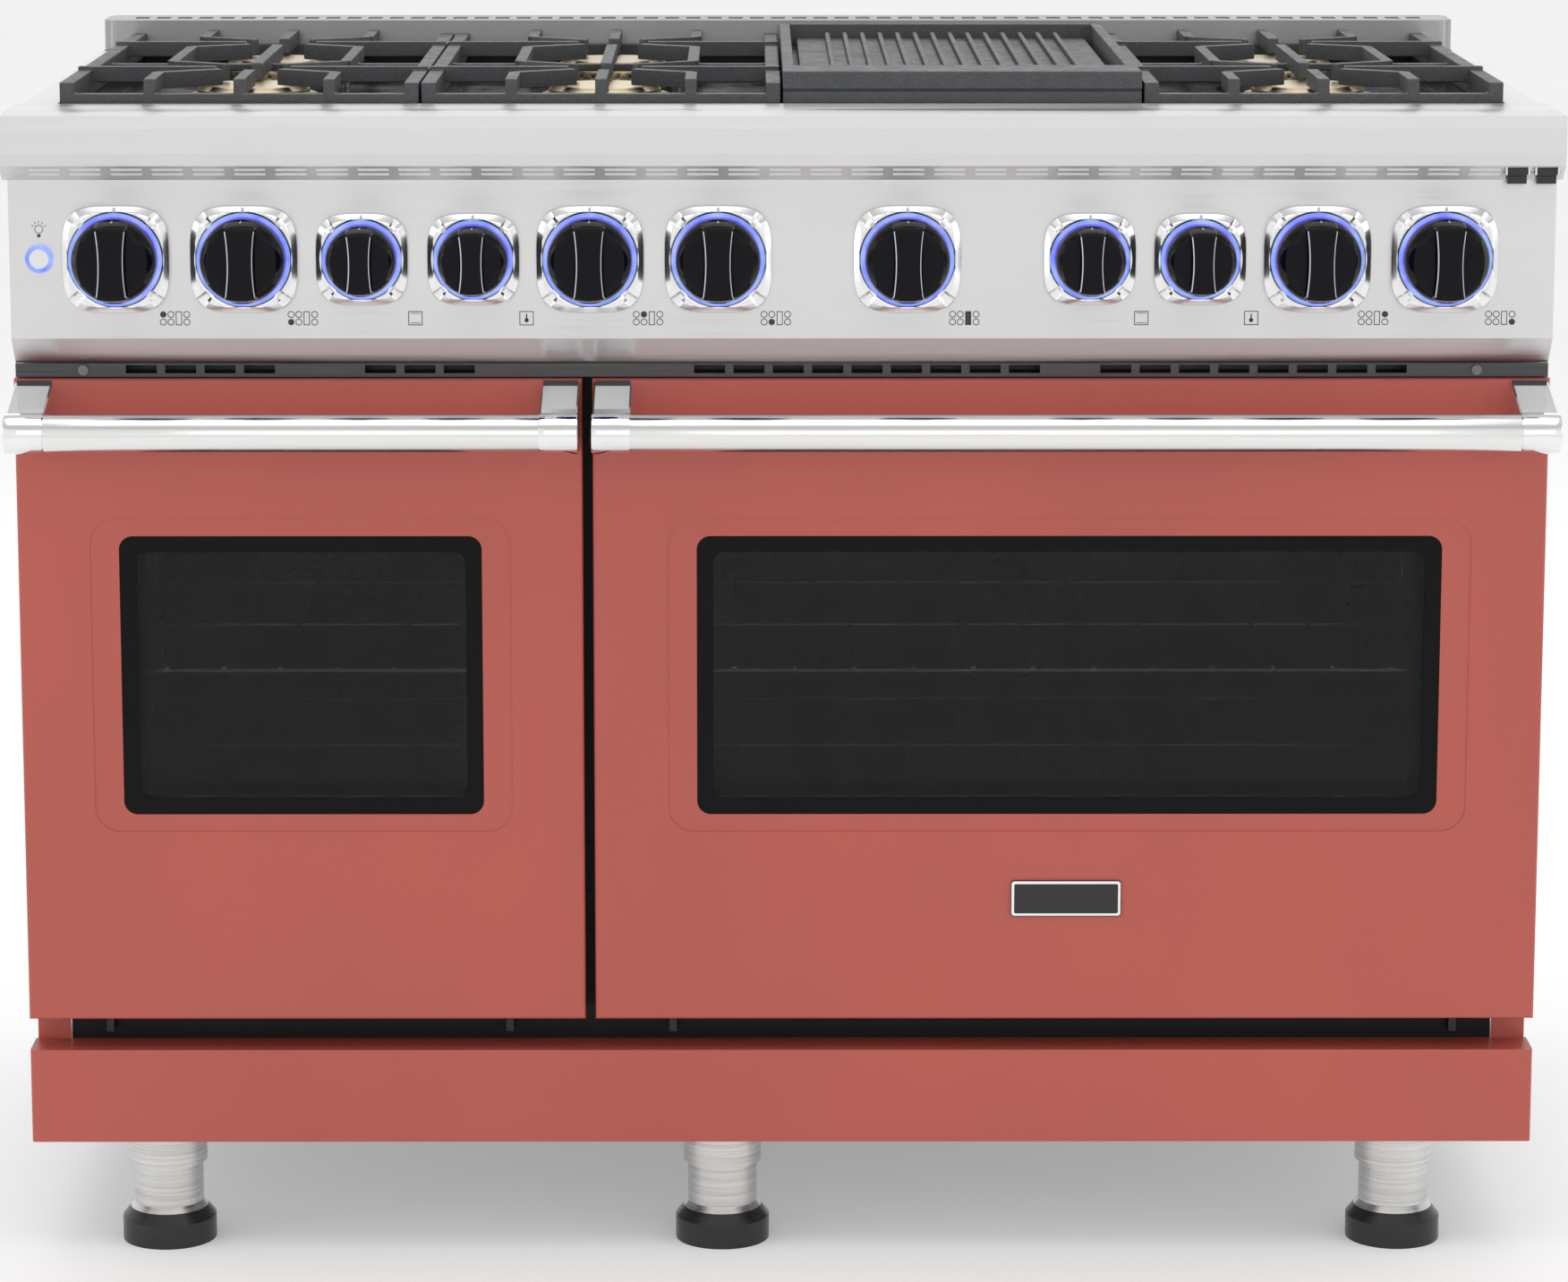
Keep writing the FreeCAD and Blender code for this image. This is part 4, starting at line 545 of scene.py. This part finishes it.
def knob_mesh(cx, cz, radius, back, front):
    """Domed skirt with a raised grip whose two edges curve in at the waist."""
    shape = Shape()
    rows = 56
    depth = back - front
    table = []
    for r in range(rows + 1):
        t = -1 + 2 * r / rows
        t = math.sin(t * math.pi / 2)
        z = t * radius * 0.999
        chord = math.sqrt(max(radius * radius - z * z, 1e-6))
        edge = radius * grip_half(t)
        edge = min(edge, chord * 0.93)
        inner = edge - min(1.1, edge * 0.2)
        outs = [chord * f + edge * (1 - f) for f in (1.0, 0.93, 0.75, 0.5, 0.25, 0.04)]
        xs = [-o for o in outs] + [-inner + inner * 2 * k / 8 for k in range(9)]
        xs += [o for o in reversed(outs)]
        row = []
        for k, x in enumerate(xs):
            from_rim = 1 - math.hypot(x, z) / radius
            fall = max(0.0, 1 - (1 - min(1.0, from_rim / 0.16)) ** 2)
            if 6 <= k <= 14:
                top = depth * (0.985 + 0.015 * (1 - (x / inner) ** 2))
                slope = min(1.0, max(0.0, (1 - abs(t)) / 0.2))
                height = depth * 0.55 + (top - depth * 0.55) * (slope * (2 - slope))
            else:
                height = depth * (0.66 + 0.14 * (1 - abs(x) / radius))
            row.append((x, z, max(0.5, height) * (0.5 + 0.5 * fall)))
        table.append(row)
    for row in table:
        shape.verts.extend((cx + x, back - h, cz + z) for x, z, h in row)
    width = len(table[0])
    for r in range(rows):
        for k in range(width - 1):
            a = r * width + k
            shape.faces.append((a, a + 1, a + width + 1, a + width))
    rim = [r * width + width - 1 for r in range(rows + 1)]
    rim += [r * width for r in range(rows, -1, -1)]
    base = len(shape.verts)
    for index in rim:
        x, _, z = shape.verts[index]
        shape.verts.append((x, back, z))
    count = len(rim)
    for i in range(count):
        j = (i + 1) % count
        shape.faces.append((rim[j], rim[i], base + i, base + j))
    shape.faces.append(tuple(base + i for i in range(count)))
    return shape


def lit_band(shape, cx, cz, outer, inner):
    """A raised band of light guide between two radii, open at the back."""
    y = bezel_front + 1.2
    shape.loft([
        at_depth(disc(cx, cz, outer, RING_POINTS), y + 4.0),
        at_depth(disc(cx, cz, outer, RING_POINTS), y + 0.3),
        at_depth(disc(cx, cz, outer - 0.5, RING_POINTS), y),
        at_depth(disc(cx, cz, inner, RING_POINTS), y + 0.3),
        at_depth(disc(cx, cz, inner, RING_POINTS), y + 4.0),
    ])


def knob_index(cx, cz, radius, back, depth):
    """The pale mark at the top of the skirt."""
    shape = Shape()
    shape.prism(
        rounded(cx - 0.7, cx + 0.7, cz + radius * 0.82, cz + radius * 0.975, 0.5, 3),
        back - depth * 0.62, back - depth * 0.3,
    )
    return shape


def painted_grip_highlights(cx, cz, radius, front):
    """Painted highlights: bright lines along both edges of the grip, the left one a little wider."""
    shape = Shape()
    steps = 24

    def spot(sign, k):
        z = radius * 0.78 * (-1 + 2 * k / steps)
        return cx + sign * (radius * grip_half(z / radius) - 1.0), cz + z

    for sign, half in ((-1, 0.42), (1, 0.3)):
        for k in range(steps):
            (xa, za), (xb, zb) = spot(sign, k), spot(sign, k + 1)
            quad = [(xa - half, za), (xa + half, za), (xb + half, zb), (xb - half, zb)]
            base = len(shape.verts)
            shape.verts.extend(at_depth(quad, front) + at_depth(quad, front + 1.2))
            shape.faces.extend(tuple(base + corner for corner in face) for face in (
                (0, 1, 2, 3), (7, 6, 5, 4), (0, 3, 7, 4), (1, 5, 6, 2)))
    return shape


def skirt_glow(cx, cz, radius, back, depth):
    """A thin band of painted light round the skirt, glowing as if the ring shone on it."""
    shape = Shape()
    top = back - depth * 0.3
    shape.loft([
        at_depth(disc(cx, cz, r, RING_POINTS), y)
        for r, y in ((radius * 0.999, back - 0.3), (radius * 0.999, top),
                     (radius * 0.95, top - 2.4), (radius * 0.93, top - 2.2))
    ])
    return shape


bezels, rings, deep, marks = Shape(), Shape(), Shape(), Shape()
for node in KNOBS:
    low, high = corners(node)
    cx, cz = centre(node)
    front, back = low[1], high[1]
    radius, depth = (high[0] - low[0]) / 2, back - front
    sizes = LARGE if radius > LARGE_OVER else SMALL
    ring = sizes["ring"]
    bezels.loft(bezel_rings(cx, cz, sizes["half"], ring))
    lit_band(rings, cx, cz, ring, ring - BAND)
    lit_band(deep, cx, cz, ring - BAND, ring - 2 * BAND)
    knob = piece(f"{node}_body", knob_mesh(cx, cz, radius, back, front), node, "knob",
                 42.0)
    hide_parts(node)
    piece(f"{node}_index", knob_index(cx, cz, radius, back, depth), node, "index")
    # Painted highlights on the grip edges, in the pale index finish.
    piece(f"{node}_edges", painted_grip_highlights(cx, cz, radius, front + 0.2), node, "index")
    # Painted light on the skirt, where the ring's light would fall.
    piece(f"{node}_glow", skirt_glow(cx, cz, radius, back, depth), node, "skirt")
    marks.prism(
        rounded(cx - 1.0, cx + 1.0, cz + ring + 1.2, cz + sizes["mark_end"], 0.6, 3),
        bezel_front - 0.1, bezel_front + 1.0,
    )
bezel_piece = piece("knob_bezel_castings", bezels, "range_body", "bezel", 25.0)
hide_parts("knob_bezels")
piece("bezel_index_marks", marks, "range_body", "index")
bx, bz = centre("light_button")
rings.loft([
    at_depth(disc(bx, bz, r, 64), y)
    for r, y in ((11, panel_y), (11, panel_y - 2.2), (10.2, panel_y - 3), (7.7, panel_y - 2.6),
                 (7.6, panel_y + 6))
])
ring_piece = piece("lit_ring_guides", rings, "range_body", "ring")
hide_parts("light_rings")
piece("lit_ring_cores", deep, "range_body", "ring_deep")

# ---------------------------------------------------------------- pictograms on the panel

PRINT = 0.12


def flat(shape, points):
    """A filled form, printed on the panel."""
    shape.prism(points, panel_y - PRINT, panel_y)


def frame_line(shape, outer, inner):
    """A flat outline: the band between two outlines of equal length."""
    shape.loft([
        at_depth(outer, panel_y), at_depth(outer, panel_y - PRINT),
        at_depth(inner, panel_y - PRINT), at_depth(inner, panel_y),
    ])


def hob_map(shape, cx, cz, lit):
    """A plan of the cooktop: six rings and the griddle, with one of them filled."""
    for name, dx, dz in (
        ("left_rear", -10.2, 3), ("left_front", -10.2, -3), ("middle_rear", -4.2, 3),
        ("middle_front", -4.2, -3), ("right_rear", 8.2, 3), ("right_front", 8.2, -3),
    ):
        x, z = cx + dx, cz + dz
        if name == lit:
            flat(shape, disc(x, z, 2.5, 24))
        else:
            frame_line(shape, disc(x, z, 2.7, 24), disc(x, z, 2.05, 24))
    x0, x1, z0, z1 = cx - 0.4, cx + 4.4, cz - 5.5, cz + 5.5
    if lit == "griddle":
        flat(shape, rounded(x0, x1, z0, z1, 0.3, 2))
    else:
        frame_line(shape, rounded(x0, x1, z0, z1, 0.3, 2),
                   rounded(x0 + 0.65, x1 - 0.65, z0 + 0.65, z1 - 0.65, 0.2, 2))


def oven_square(shape, cx, cz, lit):
    """A square oven sign: two element bars, or a thermometer bulb."""
    frame_line(shape, rounded(cx - 5.6, cx + 5.6, cz - 5.6, cz + 5.6, 0.3, 2),
               rounded(cx - 4.95, cx + 4.95, cz - 4.95, cz + 4.95, 0.2, 2))
    if lit == "selector":
        for z in (-4.0, 3.6):
            flat(shape, rounded(cx - 3.8, cx + 3.8, cz + z, cz + z + 0.5, 0.1, 2))
    else:
        flat(shape, disc(cx, cz - 1.6, 1.7, 20))
        flat(shape, rounded(cx - 0.5, cx + 0.5, cz - 1, cz + 3.4, 0.4, 3))


signs = Shape()
for node in KNOBS:
    cx, cz = centre(node)
    kind = node[len("knob_"):]
    if kind.startswith(("selector", "thermostat")):
        oven_square(signs, cx + 41, cz - 47, kind.split("_")[0])
    else:
        hob_map(signs, cx + 46, cz - 47, kind.replace("burner_", ""))
lamp_z = bz + 22
frame_line(signs, disc(bx, lamp_z + 1, 3.4, 28), disc(bx, lamp_z + 1, 2.9, 28))
flat(signs, rounded(bx - 1.3, bx + 1.3, lamp_z - 5.2, lamp_z - 2.8, 0.3, 2))
for turn in (-60, -30, 0, 30, 60):
    a = math.radians(90 + turn)
    c, s = math.cos(a), math.sin(a)
    quad = [(bx + c * r + s * w, lamp_z + 1 + s * r - c * w)
            for r, w in ((4.6, 0.25), (6.6, 0.25), (6.6, -0.25), (4.6, -0.25))]
    flat(signs, quad)
piece("panel_pictograms", signs, "range_body", "print")

# ---------------------------------------------------------------- door furniture


def turned(shape, x0, x1, cy, cz, radius, rounding):
    """A round bar along X with softened ends."""
    count = 48
    stations = [
        (x0, radius - rounding), (x0 + rounding * 0.3, radius - rounding * 0.3),
        (x0 + rounding, radius), (x1 - rounding, radius),
        (x1 - rounding * 0.3, radius - rounding * 0.3), (x1, radius - rounding),
    ]
    shape.loft(
        [[(x, cy + r * math.cos(2 * math.pi * i / count),
           cz + r * math.sin(2 * math.pi * i / count)) for i in range(count)]
         for x, r in stations],
        True, True,
    )


BAR_RADIUS, BAR_DROP = 15.0, 34.0
CAP_RADIUS, CAP_WIDTH, CAP_LAP = 16.0, 31.0, 3.0
WINDOW_MARGIN = {"left": 80.0, "right": 82.0}
WINDOW_DROP, WINDOW_HEIGHT, SHEET = 125.5, 225.6, 1.5

skin_low, skin_high = corners("door_skin_left")
door_front, door_top = skin_low[1], skin_high[2]
for side in ("left", "right"):
    low, high = corners(f"door_handle_{side}")
    x0, x1 = low[0], high[0]
    bar_y = low[1] + CAP_RADIUS
    bar_z = door_top - BAR_DROP
    body = f"door_{side}"
    bar_shape, caps = Shape(), Shape()
    turned(bar_shape, x0 + CAP_WIDTH - CAP_LAP, x1 - CAP_WIDTH + CAP_LAP, bar_y, bar_z, BAR_RADIUS, 0.5)
    for inner, outer in ((x0, x0 + CAP_WIDTH), (x1 - CAP_WIDTH, x1)):
        turned(caps, inner, outer, bar_y, bar_z, CAP_RADIUS, 1.6)
        profile = [
            (door_front, door_top - 1), (bar_y + 3, bar_z + 15.4), (bar_y - 3, bar_z + 12),
            (bar_y - 3, bar_z - 12), (bar_y + 3, bar_z - 15.4), (door_front, bar_z - 24),
        ]
        inset = [
            (door_front, door_top - 2.2), (bar_y + 3, bar_z + 14.4),
            (bar_y - 2, bar_z + 11), (bar_y - 2, bar_z - 11), (bar_y + 3, bar_z - 14.4),
            (door_front, bar_z - 22.8),
        ]
        caps.loft(
            [[(x, y, z) for y, z in shape_yz]
             for x, shape_yz in ((inner + 0.8, inset), (inner + 2, profile),
                                 (outer - 2, profile), (outer - 0.8, inset))],
            True, True,
        )
        middle = inner + CAP_WIDTH / 2
        turned(caps, middle - 15.9, middle + 15.9, bar_y, bar_z, 10.5, 1.0)
    bar_piece = piece(f"handle_bar_{side}", bar_shape, body, "bar")
    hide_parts(f"door_handle_{side}")
    piece(f"handle_brackets_{side}", caps, body, "chrome")

    # The black printed border on the glass, seen through the window opening.
    face_low, face_high = corners(f"door_skin_{side}")
    w0, w1 = face_low[0] + WINDOW_MARGIN[side], face_high[0] - WINDOW_MARGIN[side]
    z1 = door_top - WINDOW_DROP
    z0 = z1 - WINDOW_HEIGHT
    pane = door_front + SHEET
    border = Shape()
    wide = rounded(w0 - 4, w1 + 4, z0 - 4, z1 + 4, 12)
    narrow = rounded(w0 + 13, w1 - 13, z0 + 13, z1 - 13, 9)
    border.loft([
        at_depth(wide, pane), at_depth(wide, pane - 0.15),
        at_depth(narrow, pane - 0.15), at_depth(narrow, pane),
    ])
    piece(f"window_border_{side}", border, body, "frit")

# Painted corner posts, seen in the gap between the doors and the kick panel.
posts = Shape()
wall_low, wall_high = corners("side_panels")
kick_top = corners("kick_panel")[1][2]
POST_WIDTH, POST_LIP = 27, 0.4
for x0, x1 in ((wall_low[0] + POST_LIP, wall_low[0] + POST_WIDTH),
               (wall_high[0] - POST_WIDTH, wall_high[0] - POST_LIP)):
    outline = rounded(x0, x1, kick_top, skin_low[2] + 3, 0.8, 3)
    posts.prism(outline, wall_low[1] - POST_LIP, wall_low[1])
piece("corner_posts", posts, "range_body", "coral")

low, high = corners("door_badge")
frame_shape = Shape()
outer = rounded(low[0], high[0], low[2], high[2], 2.5)
mid = rounded(low[0] + 0.6, high[0] - 0.6, low[2] + 0.6, high[2] - 0.6, 2.2)
inner = rounded(low[0] + 2.4, high[0] - 2.4, low[2] + 2.4, high[2] - 2.4, 1.4)
frame_shape.loft([
    at_depth(outer, high[1]), at_depth(outer, low[1] + 0.4), at_depth(mid, low[1] - 0.2),
    at_depth(inner, low[1] - 0.2), at_depth(inner, low[1] + 0.1),
])
piece("badge_frame", frame_shape, "door_right", "chrome")

# ---------------------------------------------------------------- floor, lights and camera


def floor_material():
    n = Nodes("studio_floor")
    cloud = n.noise((1.2, 1.2, 1.2), 2.0)
    n.link(n.blend(n.remap(cloud, 0.0, 1.0), (0.86, 0.86, 0.86), (0.9, 0.9, 0.9)),
           n.bsdf.inputs["Base Color"])
    n.link(n.remap(cloud, 0.55, 0.7), n.bsdf.inputs["Roughness"])
    n.bsdf.inputs["Specular IOR Level"].default_value = 0.15
    n.bsdf.inputs["Emission Color"].default_value = (1, 1, 1, 1)
    n.bsdf.inputs["Emission Strength"].default_value = 0.2
    return n.material


mesh = bpy.data.meshes.new("studio_floor")
mesh.from_pydata(
    [(-14, -14, 0), (14, -14, 0), (14, 14, 0), (-14, 14, 0)], [], [(0, 1, 2, 3)]
)
floor = bpy.data.objects.new("studio_floor", mesh)
bpy.context.scene.collection.objects.link(floor)
mesh.materials.append(floor_material())


def area(name, place, aim, width, height, power):
    """A soft rectangular lamp, turned towards a point."""
    lamp = bpy.data.lights.new(name, "AREA")
    lamp.shape = "RECTANGLE"
    lamp.size, lamp.size_y, lamp.energy = width, height, power
    thing = bpy.data.objects.new(name, lamp)
    thing.location = place
    direction = Vector(aim) - Vector(place)
    thing.rotation_euler = direction.to_track_quat("-Z", "Y").to_euler()
    bpy.context.scene.collection.objects.link(thing)


area("key_overhead", (0, -0.6, 3.6), (0, 0, 0.5), 4.0, 2.6, 26)
area("fill_front", (0.4, -4.6, 1.9), (0, 0, 0.5), 4.5, 1.6, 10)
area("strip_left", (-3.4, -1.8, 1.4), (0, 0, 0.5), 0.9, 2.6, 8)
area("strip_right", (3.4, -1.8, 1.4), (0, 0, 0.5), 0.9, 2.6, 8)
area("rear_top", (0, 3.2, 2.6), (0, 0, 0.6), 4.0, 1.6, 12)

scene = bpy.context.scene
world = bpy.data.worlds.new("studio")
scene.world = world
world.use_nodes = True
tree = world.node_tree
background = tree.nodes["Background"]
where = tree.nodes.new("ShaderNodeTexCoord")
split = tree.nodes.new("ShaderNodeSeparateXYZ")
ramp = tree.nodes.new("ShaderNodeValToRGB")
tree.links.new(where.outputs["Generated"], split.inputs["Vector"])
tree.links.new(split.outputs["Z"], ramp.inputs["Fac"])
tree.links.new(ramp.outputs["Color"], background.inputs["Color"])
steps = ((0.0, 1.0), (0.3, 0.97), (0.5, 0.86), (0.62, 0.6), (1.0, 0.8))
while len(ramp.color_ramp.elements) < len(steps):
    ramp.color_ramp.elements.new(0.5)
for element, (place, level) in zip(ramp.color_ramp.elements, steps):
    element.position = place
    element.color = (level, level, level, 1)
scene.view_settings.view_transform = "Standard"

lens = bpy.data.cameras.new("main_camera")
lens.lens = 116.02
lens.sensor_width = 36.0
lens.shift_x = 0.0152
lens.shift_y = -0.10
lens.clip_start, lens.clip_end = 0.1, 60
camera = bpy.data.objects.new("main_camera", lens)
camera.location = (-0.0251, -4.2217, 1.3008)
camera.rotation_euler = (math.radians(90 - 9.664), 0, -0.0020)
scene.collection.objects.link(camera)
scene.camera = camera
